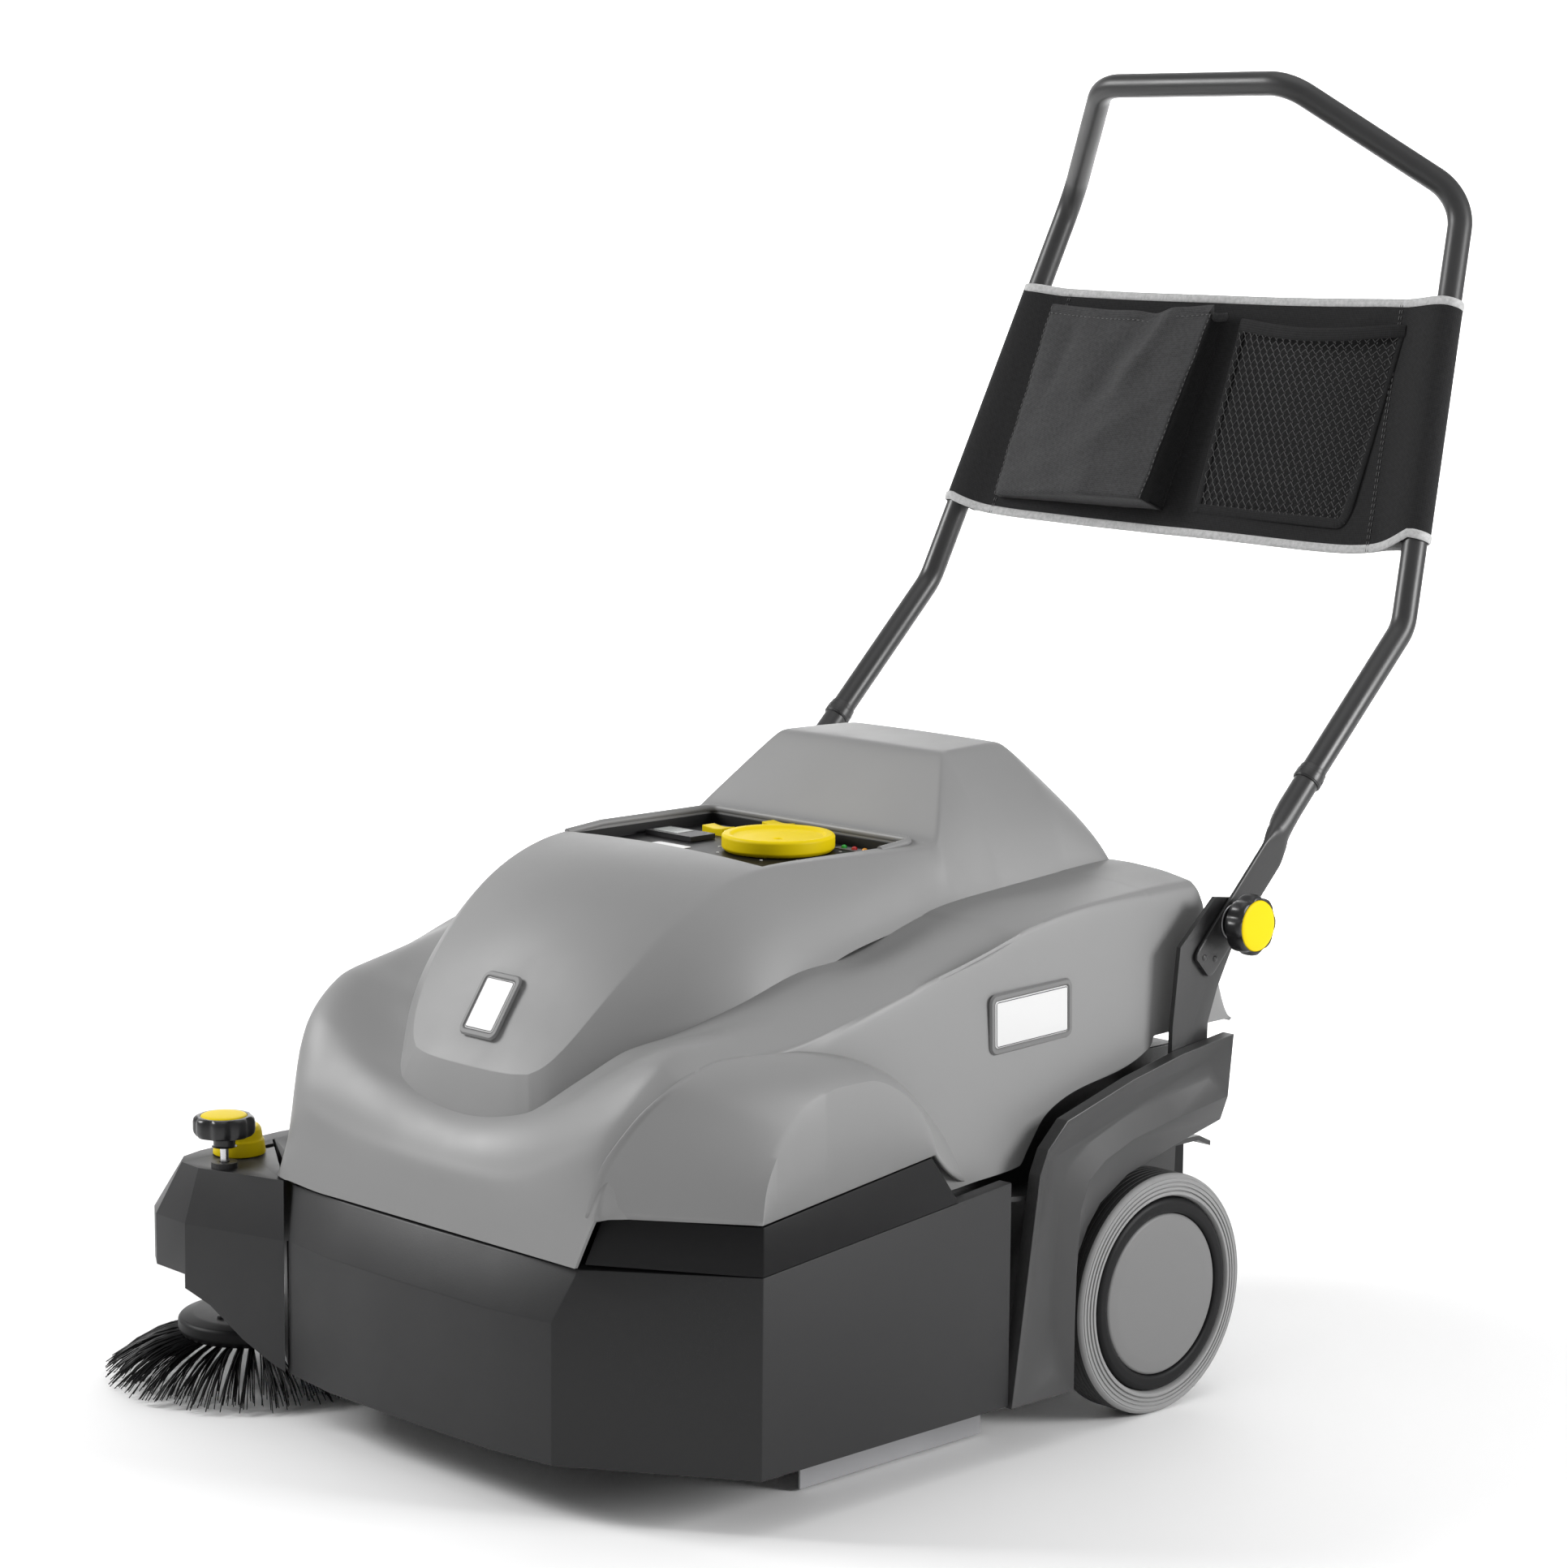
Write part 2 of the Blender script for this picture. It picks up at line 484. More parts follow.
SPINE_FOOT = [(0.0, -0.228, 0.2825), (0.032, -0.2273, 0.2850), (0.058, -0.2245, 0.2915),
              (0.077, -0.2195, 0.2975), (0.090, -0.2125, 0.3020), (0.0985, -0.2035, 0.3085),
              (0.110, -0.190, 0.3240), (0.132, -0.166, 0.3440), (0.151, -0.138, 0.3545),
              (0.163, -0.110, 0.3650), (0.172, -0.076, 0.3770), (0.1735, -0.045, 0.3850),
              (0.171, -0.016, 0.3930), (0.1625, 0.036, 0.4070), (0.159, 0.096, 0.4140),
              (0.157, 0.146, 0.4200), (0.157, 0.155, 0.4205), (0.1572, 0.163, 0.4210),
              (0.1575, 0.170, 0.4215), (0.1600, 0.213, 0.4265), (0.1602, 0.219, 0.4270),
              (0.1605, 0.226, 0.4275), (0.1650, 0.290, 0.4330), (0.1655, 0.300, 0.4340),
              (0.166, 0.306, 0.4345), (0.168, 0.340, 0.4370), (0.169, 0.354, 0.4340),
              (0.172, 0.374, 0.3860), (0.174, 0.393, 0.3110)]
SPINE_CROWN = [(-0.2185, 0.3185), (-0.2030, 0.3440), (-0.190, 0.3635), (-0.166, 0.3980),
               (-0.138, 0.4260), (-0.110, 0.4480), (-0.076, 0.4640), (-0.045, 0.4700),
               (-0.016, 0.4710), (0.040, 0.4690), (0.150, 0.4670), (0.158, 0.4675),
               (0.1645, 0.4715), (0.170, 0.4775), (0.213, 0.5300), (0.219, 0.5348), (0.226, 0.5360),
               (0.290, 0.5360), (0.300, 0.5352), (0.306, 0.5300), (0.340, 0.4880), (0.354, 0.4520),
               (0.374, 0.3900), (0.393, 0.3110)]


DECK_COUNT = 230                               # rows of points along the deck
SMOOTH_REACH = 18                              # rows to either side that a row is averaged with
SMOOTH_FROM, SMOOTH_TO, SMOOTH_EASE = -0.150, 0.320, 0.07


def deck_rows(lines):
    """Feature points (rows, lines, xyz) of one half, evenly spread along the deck."""
    along = np.concatenate([[0.0], np.cumsum(np.abs(np.diff(DECK_ROWS)) + 0.012)])
    places = np.interp(np.linspace(0.0, along[-1], DECK_COUNT), along, DECK_ROWS)
    table = np.zeros((DECK_COUNT, len(lines), 3))
    for k, line in enumerate(lines):
        ys, xs, zs = np.array(line).T
        flat = monotone(ys, np.stack([xs, zs], axis=1), places)
        table[:, k] = np.stack([flat[:, 0], places, flat[:, 1]], axis=1)
    weights = np.exp(-np.linspace(-2.0, 2.0, 2 * SMOOTH_REACH + 1) ** 2)
    weights /= weights.sum()
    share = (np.clip((places - SMOOTH_FROM) / SMOOTH_EASE, 0, 1)
             * np.clip((SMOOTH_TO - places) / SMOOTH_EASE, 0, 1))
    for k in range(len(lines) - 1):
        for axis in (0, 2):
            padded = np.pad(table[:, k, axis], SMOOTH_REACH, mode="edge")
            smooth = np.convolve(padded, weights, mode="valid")
            table[:, k, axis] += (smooth - table[:, k, axis]) * share
    return table


def rounded_section(points, shares, curve=8, straight=3):
    """A smooth line through the points; each share says how widely its corner is rounded."""
    count = len(points)
    shares = np.array(shares)
    system = np.eye(count)
    for i in range(1, count - 1):
        system[i, i - 1] = system[i, i + 1] = shares[i] / 4
        system[i, i] = 1 - shares[i] / 2
    control = np.linalg.solve(system, points)
    line = [control[0]]
    for i in range(1, count - 1):
        start = control[i] + (control[i - 1] - control[i]) * shares[i]
        end = control[i] + (control[i + 1] - control[i]) * shares[i]
        last = line[-1]
        line += [last + (start - last) * k / straight for k in range(1, straight)]
        line += [bezier(start, control[i], end, k / curve) for k in range(curve + 1)]
    last = line[-1]
    return line + [last + (control[-1] - last) * k / straight for k in range(1, straight + 1)]


def deck():
    """The hood's main skin, open under the spine."""
    shares = [0.0, *DECK_CORNERS[:0:-1], *DECK_CORNERS, 0.0]
    rows = []
    for left, right in zip(deck_rows(DECK_LEFT), deck_rows(DECK_RIGHT)):
        other = right[:0:-1] * (-1, 1, 1)
        rows.append(rounded_section(np.concatenate([other, left]), shares))
    bm = bmesh.new()
    add_grid(bm, rows)
    foot_x, foot_y = np.array(SPINE_FOOT)[:, 0], np.array(SPINE_FOOT)[:, 1]
    hidden = []
    for face in bm.faces:
        middle = face.calc_center_median()
        if abs(middle.x) < np.interp(middle.y, foot_y + UNDERLAP, foot_x, left=0.0) - UNDERLAP:
            hidden.append(face)
    bmesh.ops.delete(bm, geom=hidden, context="FACES")
    return bm


def at_share(table, place):
    """The table's point at a fractional index."""
    low = min(int(place), len(table) - 2)
    return Vector(table[low]).lerp(Vector(table[low + 1]), place - low)


NOSE_BACK = -0.150        # behind this y the spine's edge is round and its wall flares


def spine():
    """The raised middle of the hood: nose, console surround and rear box, over a flared wall."""
    across_u = (0.0, 0.30, 0.58, 0.82, 0.95, 1.0)       # from the middle to the edge
    front_place = (0.0, 1.0, 2.0, 2.55, 2.86, 3.0)      # the same points along the nose's tip
    crown_y, crown_z = np.array(SPINE_CROWN).T
    bm = bmesh.new()
    places = [3.0, 3.35, 4.0, *range(5, len(SPINE_EDGE))]
    rows = []
    for place in places:
        edge = at_share(SPINE_EDGE, place)
        half = []
        middle_y = edge.y
        if place < 7:
            middle_y = float(np.interp(place, (3, 3.35, 4, 5, 6, 7),
                                       (-0.2185, -0.2135, -0.2080, -0.2010, -0.1905, -0.1650)))
        top = float(np.interp(middle_y, crown_y, crown_z))
        for u, front in zip(across_u, front_place):
            if place == 3.0:
                half.append(at_share(SPINE_EDGE, front))
                continue
            half.append(Vector((edge.x * u, edge.y + (middle_y - edge.y) * (1 - u * u),
                                edge.z + (top - edge.z) * (1 - u * u))))
        rows.append([Vector((-p.x, p.y, p.z)) for p in half[:0:-1]] + half)
    grid = add_grid(bm, rows)
    rim = [row[0] for row in grid[:0:-1]] + grid[0] + [row[-1] for row in grid[1:]]
    rim_place = places[:0:-1] + list(front_place[:0:-1]) + list(front_place) + places[1:]
    lower = rim
    for share in (0.07, 0.30, 0.60, 0.88, 1.0, 1.12):
        ring = []
        for vert, place in zip(rim, rim_place):
            side = 1.0 if vert.co.x >= 0 else -1.0
            foot = at_share(SPINE_FOOT, place)
            foot = Vector((foot.x * side, foot.y, foot.z))
            late = min(1.0, max(0.0, (foot.y - 0.28) / 0.05))
            nose = min(1.0, max(0.0, (NOSE_BACK - vert.co.y) / 0.045))
            bulge = Vector((vert.co.x + (foot.x - vert.co.x) * (0.74 + 0.16 * late - 0.16 * nose),
                            vert.co.y + (foot.y - vert.co.y) * (0.72 - 0.14 * nose),
                            vert.co.z + (foot.z - vert.co.z) * (0.40 - 0.12 * late + 0.08 * nose)))
            ring.append(bm.verts.new(bezier(vert.co, bulge, foot, share)))
        for i in range(len(ring) - 1):
            bm.faces.new((lower[i], lower[i + 1], ring[i + 1], ring[i]))
        lower = ring
    crease = bm.edges.layers.float.new("crease_edge")
    for first, second in zip(rim, rim[1:]):
        edge = bm.edges.get((first, second))
        if edge and (first.co.y + second.co.y) / 2 < NOSE_BACK:
            edge[crease] = min(1.0, (NOSE_BACK - first.co.y) / 0.040)
    outward(bm)
    if sum(f.normal.z * f.calc_area() for f in bm.faces) < 0:
        bmesh.ops.reverse_faces(bm, faces=bm.faces)
    return bm


DOME_OUTER = [(0.1950, -0.2570, 0.2405), (0.2060, -0.2550, 0.2740), (0.2310, -0.2450, 0.3140),
              (0.2480, -0.2200, 0.3430), (0.2500, -0.1700, 0.3560), (0.2530, -0.1170, 0.3550),
              (0.2580, -0.0710, 0.3470), (0.2610, -0.0260, 0.3290), (0.2630, 0.0120, 0.3010),
              (0.2645, 0.0480, 0.2630), (0.2660, 0.0720, 0.2240)]
DOME_TURNS = (180, 165, 150, 134, 117, 99, 81, 62, 44, 28, 14)
DOME_FACE_X = 0.2965
DOME_SWELL = 0.012        # of its roof above the straight line between the arcs
DOME_CENTRE = (-0.087, 0.239)
DOME_RADIUS = 0.095


def dome():
    """The blister over the left front corner: a curved roof between two arcs, and a flat side face."""
    inner = [(DOME_FACE_X, DOME_CENTRE[0] + DOME_RADIUS * math.cos(math.radians(a)),
              DOME_CENTRE[1] + DOME_RADIUS * math.sin(math.radians(a))) for a in DOME_TURNS]
    inner[0] = (DOME_FACE_X, -0.1820, 0.2405)
    count, rows = len(inner), 60
    even = np.linspace(0, count - 1, rows)
    grid = []
    for k, (start, end) in enumerate(zip(monotone(range(count), DOME_OUTER, even),
                                         monotone(range(count), inner, even))):
        t = k / (rows - 1)
        swell = DOME_SWELL * math.sin(math.pi * min(1.0, t * 1.15)) ** 0.8
        middle = (start + end) / 2 + np.array([0.75, 0.0, 0.66]) * swell
        if t > 0.82:
            middle = middle + np.array([0.0, 0.0, -1.0]) * 0.008 * (t - 0.82) / 0.18
        row = [start + (start - middle) * 0.12]
        grid.append(row + [bezier(start, middle, end, i / 16) for i in range(17)])
    bm = bmesh.new()
    edge = [row[-1] for row in add_grid(bm, grid)]
    floor = [bm.verts.new((DOME_FACE_X, v.co.y, np.interp(v.co.y, [-0.182, 0.0052], [0.2405, 0.2635])))
             for v in edge[1:-1]]
    lower = [edge[0], *floor, edge[-1]]
    for i in range(len(edge) - 1):
        corners = list(dict.fromkeys([edge[i], edge[i + 1], lower[i + 1], lower[i]]))
        if len(corners) > 2:
            bm.faces.new(corners)
    outward(bm)
    return bm


SKIN = 0.003
OPENING = ((-0.1168, -0.0103, 0.4300), (0.1168, 0.1563, 0.5200))     # for the console
HINGE_ARM = [(0.3600, 0.3400), (0.3715, 0.3270), (0.3780, 0.3260), (0.3830, 0.3290),
             (0.3790, 0.3420), (0.3655, 0.3800), (0.3580, 0.3790)]


def thicken(obj, thickness=SKIN, offset=-1.0):
    wall = obj.modifiers.new("wall", "SOLIDIFY")
    wall.thickness, wall.offset = thickness, offset
    finish_modifiers(obj)


def hood_piece(name, bm, replaces=(), angle=None):
    return piece(name, bm, HOOD_GREY, "hood", replaces, angle)


def hood():
    skin = hood_piece("hood_look", deck(), ("hood_shell",))
    thicken(skin)
    skin.data.shade_smooth()
    skin.data.set_sharp_from_angle(angle=math.radians(48))
    middle = hood_piece("hood_spine", spine())
    smooth = middle.modifiers.new("smooth", "SUBSURF")
    smooth.levels = smooth.render_levels = 3
    finish_modifiers(middle)
    thicken(middle)
    bm = bmesh.new()
    block(bm, *OPENING)
    bevel(bm, 0.004, 4)
    bm.transform(Matrix.Translation(SHIFT))
    tool = linked("opening_tool", smooth_mesh("opening_tool", bm))
    hole = middle.modifiers.new("opening", "BOOLEAN")
    hole.object, hole.operation, hole.solver = tool, "DIFFERENCE", "EXACT"
    finish_modifiers(middle)
    bpy.data.objects.remove(tool)
    middle.data.shade_smooth()
    middle.data.set_sharp_from_angle(angle=math.radians(40))
    thicken(hood_piece("hood_dome", dome(), angle=30))
    for side, s in SIDES:
        bm = bmesh.new()
        slab(bm, HINGE_ARM, s * 0.1430, s * 0.1490)
        bevel(bm, 0.0008, 2)
        hood_piece(f"hood_hinge_arm_{side}", bm, angle=40)


PLATE_RIM = 0.0015        # between a plate's edge and its blank field


def add_frame(bm, rings, finishes):
    """Bands of faces from each ring inwards to the next, each with its own material."""
    for outer, inner, finish in zip(rings, rings[1:], finishes):
        for i in range(len(inner)):
            j = (i + 1) % len(inner)
            bm.faces.new((outer[i], outer[j], inner[j], inner[i])).material_index = finish


def plate_and_frame(name, width, height, place, replaces):
    """A blank plate in a raised rounded frame, in the plane that the matrix sets."""
    bm = bmesh.new()

    def ring(inset, z, radius):
        outline = round_rect(width - 2 * inset, height - 2 * inset, radius)
        return [bm.verts.new((x, y, z)) for x, y in outline]

    frame_rings = [ring(-0.0055, -0.0010, 0.0070), ring(-0.0042, 0.0009, 0.0062),
                   ring(-0.0014, 0.0011, 0.0040), ring(-0.0003, 0.0001, 0.0030)]
    add_frame(bm, frame_rings, (1, 1, 1))
    plate_rings = [ring(0.0, 0.0001, 0.0030), ring(0.0008, 0.0008, 0.0026),
                   ring(PLATE_RIM, 0.0009, 0.0016)]
    add_frame(bm, plate_rings, (0, 2))
    bm.faces.new(plate_rings[-1]).material_index = 0
    bm.transform(place)
    piece(name, bm, (WHITE, CAP_GREY, GLOSS_BLACK), "hood", replaces, 35)


def plates():
    upright = Matrix.Rotation(math.pi / 2, 4, "X")
    nose = (Matrix.Translation((0.0, -0.1925, 0.3625)) @ Matrix.Rotation(math.radians(56), 4, "X")
            @ Matrix.Translation((0, 0, 0.0012)))
    plate_and_frame("nose_plate_look", 0.034, 0.045, nose, ("nose_plate",))
    for side, s in SIDES:
        place = (Matrix.Translation((s * 0.2668, 0.1440, 0.3470))
                 @ Matrix.Rotation(math.radians(1.5), 4, "X")
                 @ Matrix.Rotation(s * math.pi / 2, 4, "Z") @ upright)
        plate_and_frame(f"badge_{side}_look", 0.086, 0.038, place, (f"side_plate_badge_{side}",))


# Base, bands, fenders, brackets and frame: the CAD shapes with rounded edges


RIDGE_INSET, RIDGE_DEPTH = 0.017, 0.0085     # of the fender's outer face


def fender(side, s):
    """The wheel's fender: its outer face leans away on both sides of a ridge."""
    bm = cad_copy(f"fender_{side}")
    face = max((f for f in bm.faces if f.normal.x * s > 0.99), key=lambda f: f.calc_area())
    rim = list(face.verts)
    bmesh.ops.inset_region(bm, faces=[face], thickness=RIDGE_INSET, use_even_offset=True)
    for vert in rim:
        vert.co.x -= s * RIDGE_DEPTH
    softened(f"fender_{side}", FENDER_GREY, "chassis", 0.0012, bm, 12)


def mouldings():
    softened("front_base", BASE_DARK, "chassis", 0.0008)
    softened("side_brush_housing", BASE_DARK, "chassis", 0.0008)
    bm = bmesh.new()
    block(bm, (-0.1638, -0.2706, 0.0445), (-0.1604, -0.2640, 0.1545))
    piece("housing_joint_look", bm, BLACK, "chassis", angle=None)
    softened("corner_band_left", BLACK, "chassis", 0.0010)
    for side, s in SIDES:
        fender(side, s)
        softened(f"handle_bracket_{side}", COAT_BLACK, "chassis", 0.0007)
        softened(f"side_seal_{side}", SEAL, "chassis", 0.0004)
    softened("console_panel", BLACK, "hood", 0.0006)
    softened("castor_fork", ZINC, "castor", 0.0004)


# Console


DIAL = (0.026, 0.096)
DIAL_PROFILE = [(0.0, 0.4635), (0.0030, 0.4635), (0.0036, 0.4662), (0.0060, 0.4668),
                (0.0300, 0.4676), (0.0375, 0.4688), (0.0400, 0.4712), (0.0450, 0.4716),
                (0.0470, 0.4696), (0.0470, 0.4600), (0.0440, 0.4570), (0.0, 0.4570)]
LAMP_PROFILE = [(0.0, 0.4598), (0.0012, 0.4596), (0.0022, 0.4588), (0.0026, 0.4574), (0.0026, 0.4566)]
PANEL_TOP = 0.4566


def rocker(name, body, x, y, top):
    """A rocker switch, 26 mm by 14 mm, whose top rises towards both ends."""
    half_long, half_wide = 0.0130, 0.0070
    rows = []
    for i in range(13):
        u = -1 + 2 * i / 12
        rows.append([(x + half_long * u, y + half_wide * v, top - 0.0012 + 0.0014 * abs(u) ** 1.6)
                     for v in (-1.0, 1.0)])
    bm = bmesh.new()
    made = add_grid(bm, rows)
    ends = [[bm.verts.new((x + half_long * s, y + half_wide * v, 0.4542)) for v in (-1.0, 1.0)]
            for s in (-1, 1)]
    bm.faces.new((made[0][0], made[0][1], ends[0][1], ends[0][0]))
    bm.faces.new((made[-1][1], made[-1][0], ends[1][0], ends[1][1]))
    bm.faces.new([row[0] for row in made] + [ends[1][0], ends[0][0]])
    bm.faces.new([row[1] for row in made[::-1]] + [ends[0][1], ends[1][1]])
    bm.faces.new((ends[0][0], ends[0][1], ends[1][1], ends[1][0]))
    outward(bm)
    bevel(bm, 0.0007, 3, 40)
    piece(f"{name}_look", bm, YELLOW, body, (name,))


def hour_meter():
    bm = bmesh.new()
    block(bm, (-0.108, 0.070, 0.4568), (-0.052, 0.098, 0.4610))
    bevel(bm, 0.0012, 3)
    count = len(bm.faces)
    block(bm, (-0.103, 0.0745, 0.4609), (-0.074, 0.0935, 0.4614))
    bm.faces.ensure_lookup_table()
    for face in bm.faces[count:]:
        face.material_index = 1
    piece("hour_meter_look", bm, (BASE_DARK, SCREEN), "hood", ("hour_meter",), 35)


def labels():
    """Blank fields on the console and dots round the dial."""
    bm = bmesh.new()
    fields = ((0.040, 0.034, 0.003, (-0.052, 0.036), 0.0004, 0),
              (0.052, 0.012, 0.002, (-0.070, 0.1420), 0.0006, 1),
              (0.046, 0.010, 0.002, (0.070, 0.1430), 0.0006, 1))
    for width, height, radius, centre, thick, finish in fields:
        outline = round_rect(width, height, radius, centre=centre)
        slab(bm, outline, PANEL_TOP, PANEL_TOP + thick, "Z", finish)
    dots, reach = 10, 0.0515
    for k in range(dots):
        turn = math.radians(-60 + 300 * k / (dots - 1))
        x, y = DIAL[0] + reach * math.cos(turn), DIAL[1] + reach * math.sin(turn)
        if abs(x) < 0.112 and y < 0.152:
            outline = round_rect(0.0024, 0.0024, 0.0008, 3, (x, y))
            slab(bm, outline, PANEL_TOP, PANEL_TOP + 0.0003, "Z")
    piece("console_labels", bm, (WHITE, LABEL_GREY), "hood", angle=35)


def console():
    bm = bmesh.new()
    lathe(bm, rounded(DIAL_PROFILE, 0.0012), (*DIAL, 0.0), "Z", 128)
    outward(bm)
    piece("dial_look", bm, YELLOW, "dial", ("brush_height_dial",), 35)
    rocker("main_switch", "switch_main", -0.070, 0.1190, 0.4630)
    rocker("fan_switch", "switch_fan", -0.022, 0.1430, 0.4690)
    hour_meter()
    rim = rounded_route([(-0.1195, -0.008, 0.4655), (-0.1195, 0.030, 0.4690), (-0.1195, 0.1585, 0.4690),
                         (0.1195, 0.1585, 0.4690), (0.1195, 0.120, 0.4655)], 0.010, 8)
    bm = bmesh.new()
    swept(bm, rim, 0.0034, 12)
    outward(bm)
    hood_piece("console_rim", bm, angle=40)
    labels()
    for name, x, finish in (("lamp_green", 0.0560, LAMP_GREEN), ("lamp_red", 0.0680, LAMP_RED),
                            ("lamp_amber", 0.0800, LAMP_AMBER)):
        bm = bmesh.new()
        lathe(bm, LAMP_PROFILE, (x, 0.1430, 0.0), "Z", 24)
        outward(bm)
        piece(name, bm, finish, "hood")


# Wheels


WHEEL = (0.279, 0.274, 0.1005)
RIM_PROFILE = [(0.0110, 0.0110), (0.0600, 0.0110), (0.0670, 0.0150), (0.0680, 0.0196), (0.0705, 0.0206),
               (0.0770, 0.0206), (0.0800, 0.0190), (0.0810, 0.0150), (0.0810, -0.0190),
               (0.0780, -0.0205), (0.0720, -0.0205), (0.0700, -0.0100), (0.0300, -0.0050),
               (0.0160, -0.0190), (0.0110, -0.0190), (0.0110, 0.0110)]
CAP_PROFILE = [(0.0, 0.0207), (0.0300, 0.0206), (0.0560, 0.0202), (0.0655, 0.0194), (0.0672, 0.0180),
               (0.0672, 0.0152), (0.0, 0.0152)]
TYRE_RADIUS = 0.1005


def tyre_profiles():
    """The tyre's grooved outer wall and its ribbed tread."""
    wall = [(0.0812, 0.0150), (0.0820, 0.0192), (0.0832, 0.0206), (0.0846, 0.0208)]
    for k in range(4):
        r = 0.0846 + 0.0035 * k
        wall += [(r + 0.0009, 0.0206 - 0.0003 * k), (r + 0.0012, 0.0190), (r + 0.0021, 0.0190),
                 (r + 0.0025, 0.0205 - 0.0004 * k)]
    wall += [(0.0992, 0.0182), (0.1000, 0.0170), (0.1004, 0.0155)]
    low = TYRE_RADIUS - 0.0009
    tread = [(TYRE_RADIUS, 0.0140)]
    for k in range(6):
        h = 0.0122 - 0.0048 * k
        tread += [(TYRE_RADIUS, h), (low, h - 0.0003), (low, h - 0.0011), (TYRE_RADIUS, h - 0.0014)]
    return wall, [*tread, (TYRE_RADIUS, -0.0140)]


def wheels():
    outer, tread = tyre_profiles()
    inner = [(r, -h) for r, h in outer[::-1]]
    for side, s in SIDES:
        at = (s * WHEEL[0], *WHEEL[1:])
        body = f"wheel_{side}"
        bm = bmesh.new()
        lathe(bm, outer, at, "X", 144, s < 0)
        lathe(bm, [outer[-1], *tread, inner[0]], at, "X", 144, s < 0, 1)
        lathe(bm, [*inner, outer[0]], at, "X", 144, s < 0)
        bmesh.ops.remove_doubles(bm, verts=bm.verts, dist=0.00001)
        outward(bm)
        piece(f"tyre_{side}_look", bm, (TYRE, TREAD), body, (f"tyre_{side}",), 35)
        bm = bmesh.new()
        lathe(bm, rounded(RIM_PROFILE, 0.0012, 3), at, "X", 128, s < 0)
        outward(bm)
        piece(f"wheel_rim_{side}_look", bm, BLACK, body, (f"wheel_rim_{side}",), 35)
        bm = bmesh.new()
        lathe(bm, rounded(CAP_PROFILE, 0.0016, 5), at, "X", 128, s < 0)
        outward(bm)
        piece(f"hub_cap_{side}_look", bm, CAP_GREY, body, (f"hub_cap_{side}",), 35)


# Knobs

CLAMP = (0.362, 0.400)
ADJUSTER = (-0.247, -0.270)
STAR_PROFILE = [(0.0, -0.0016, 0), (0.0205, -0.0016, 0), (0.0232, -0.0010, 0.4), (0.0250, 0.0012, 1),
                (0.0256, 0.0040, 1), (0.0256, 0.0105, 1), (0.0250, 0.0132, 1), (0.0236, 0.0148, 0.8),
                (0.0222, 0.0153, 0.2)]
DISC_PROFILE = [(0.0, 0.0166), (0.0090, 0.0166), (0.0170, 0.0164), (0.0200, 0.0160), (0.0210, 0.0154),
                (0.0213, 0.0146), (0.0213, 0.0138)]
LIFT_CAP_PROFILE = [(0.0, 0.2250), (0.0120, 0.2255), (0.0165, 0.2245), (0.0185, 0.2215),
                    (0.0195, 0.2140), (0.0205, 0.2125), (0.0215, 0.2060), (0.0220, 0.2006),
                    (0.0080, 0.2003), (0.0080, 0.1610), (0.0, 0.1610)]


def star_knob(name, at, axis, flip, body, nodes, collar, size=1.0):
    """An eight-lobed hand knob on a collar, with a domed yellow disc in its outer face."""
    recess = [(0.0216 * size, 0.0153, 0), (0.0214 * size, 0.0142, 0), (0.0, 0.0142, 0)]
    bm = bmesh.new()
    lathe(bm, STAR_PROFILE + recess, at, axis, 160, flip, lobes=8, dip=0.0026)
    lathe(bm, rounded([(collar, -0.0002), (collar * 0.94, -0.0100), (collar * 1.15, -0.0106),
                       (0.0, -0.0106)], 0.0010, 3), at, axis, 48, flip)
    outward(bm)
    piece(f"{name}_look", bm, GLOSS_BLACK, body, (nodes[0],))
    bm = bmesh.new()
    lathe(bm, [(r * size, h) for r, h in DISC_PROFILE], at, axis, 96, flip)
    outward(bm)
    piece(f"{name}_insert_look", bm, YELLOW, body, (nodes[1],))


def knobs():
    for side, s in SIDES:
        body = f"clamp_{side}"
        star_knob(f"clamp_knob_{side}", (s * 0.3040, *CLAMP), "X", s < 0, body,
                  (f"clamp_knob_{side}", f"clamp_knob_insert_{side}"), 0.0125)
        bm = bmesh.new()
        lathe(bm, rounded([(0.0044, 0.0), (0.0044, 0.0015), (0.0150, 0.0015), (0.0150, 0.0),
                           (0.0044, 0.0)], 0.0004, 3), (s * 0.2920, *CLAMP), "X", 64, s < 0)
        outward(bm)
        piece(f"clamp_washer_{side}_look", bm, ZINC, body, (f"clamp_washer_{side}",))
    star_knob("adjuster_knob", (*ADJUSTER, 0.2285), "Z", False, "adjuster",
              ("adjuster_knob", "adjuster_knob_insert"), 0.0095, 0.90)
    bm = bmesh.new()
    lathe(bm, [(0.0035, 0.2180), (0.0035, 0.1850)], (*ADJUSTER, 0.0), "Z", 24)
    piece("adjuster_spindle", bm, ZINC, "adjuster")
    bm = bmesh.new()
    lathe(bm, rounded(LIFT_CAP_PROFILE, 0.0012), (-0.278, -0.232, 0.0))
    outward(bm)
    piece("lift_cap_look", bm, YELLOW, "brush_lift", ("side_brush_lift_cap",), 35)


# Handle tubes


JOINT, LOW, HIGH, TOP = (Vector(p) for p in ((0.280, 0.475, 0.508), (0.281, 0.598, 0.626),
                                             (0.229, 0.738, 0.993), (0.108, 0.638, 1.092)))
TUBE = 0.011              # the tube's radius
SLOPE = math.atan2(LOW.z - JOINT.z, LOW.y - JOINT.y)


def arm_point(distance, x=0.0, lift=0.0):
    """A point on the lower tube's line, measured from the clamp's axis."""
    return Vector((x, CLAMP[0] + distance * math.cos(SLOPE) - lift * math.sin(SLOPE),
                   CLAMP[1] + distance * math.sin(SLOPE) + lift * math.cos(SLOPE)))


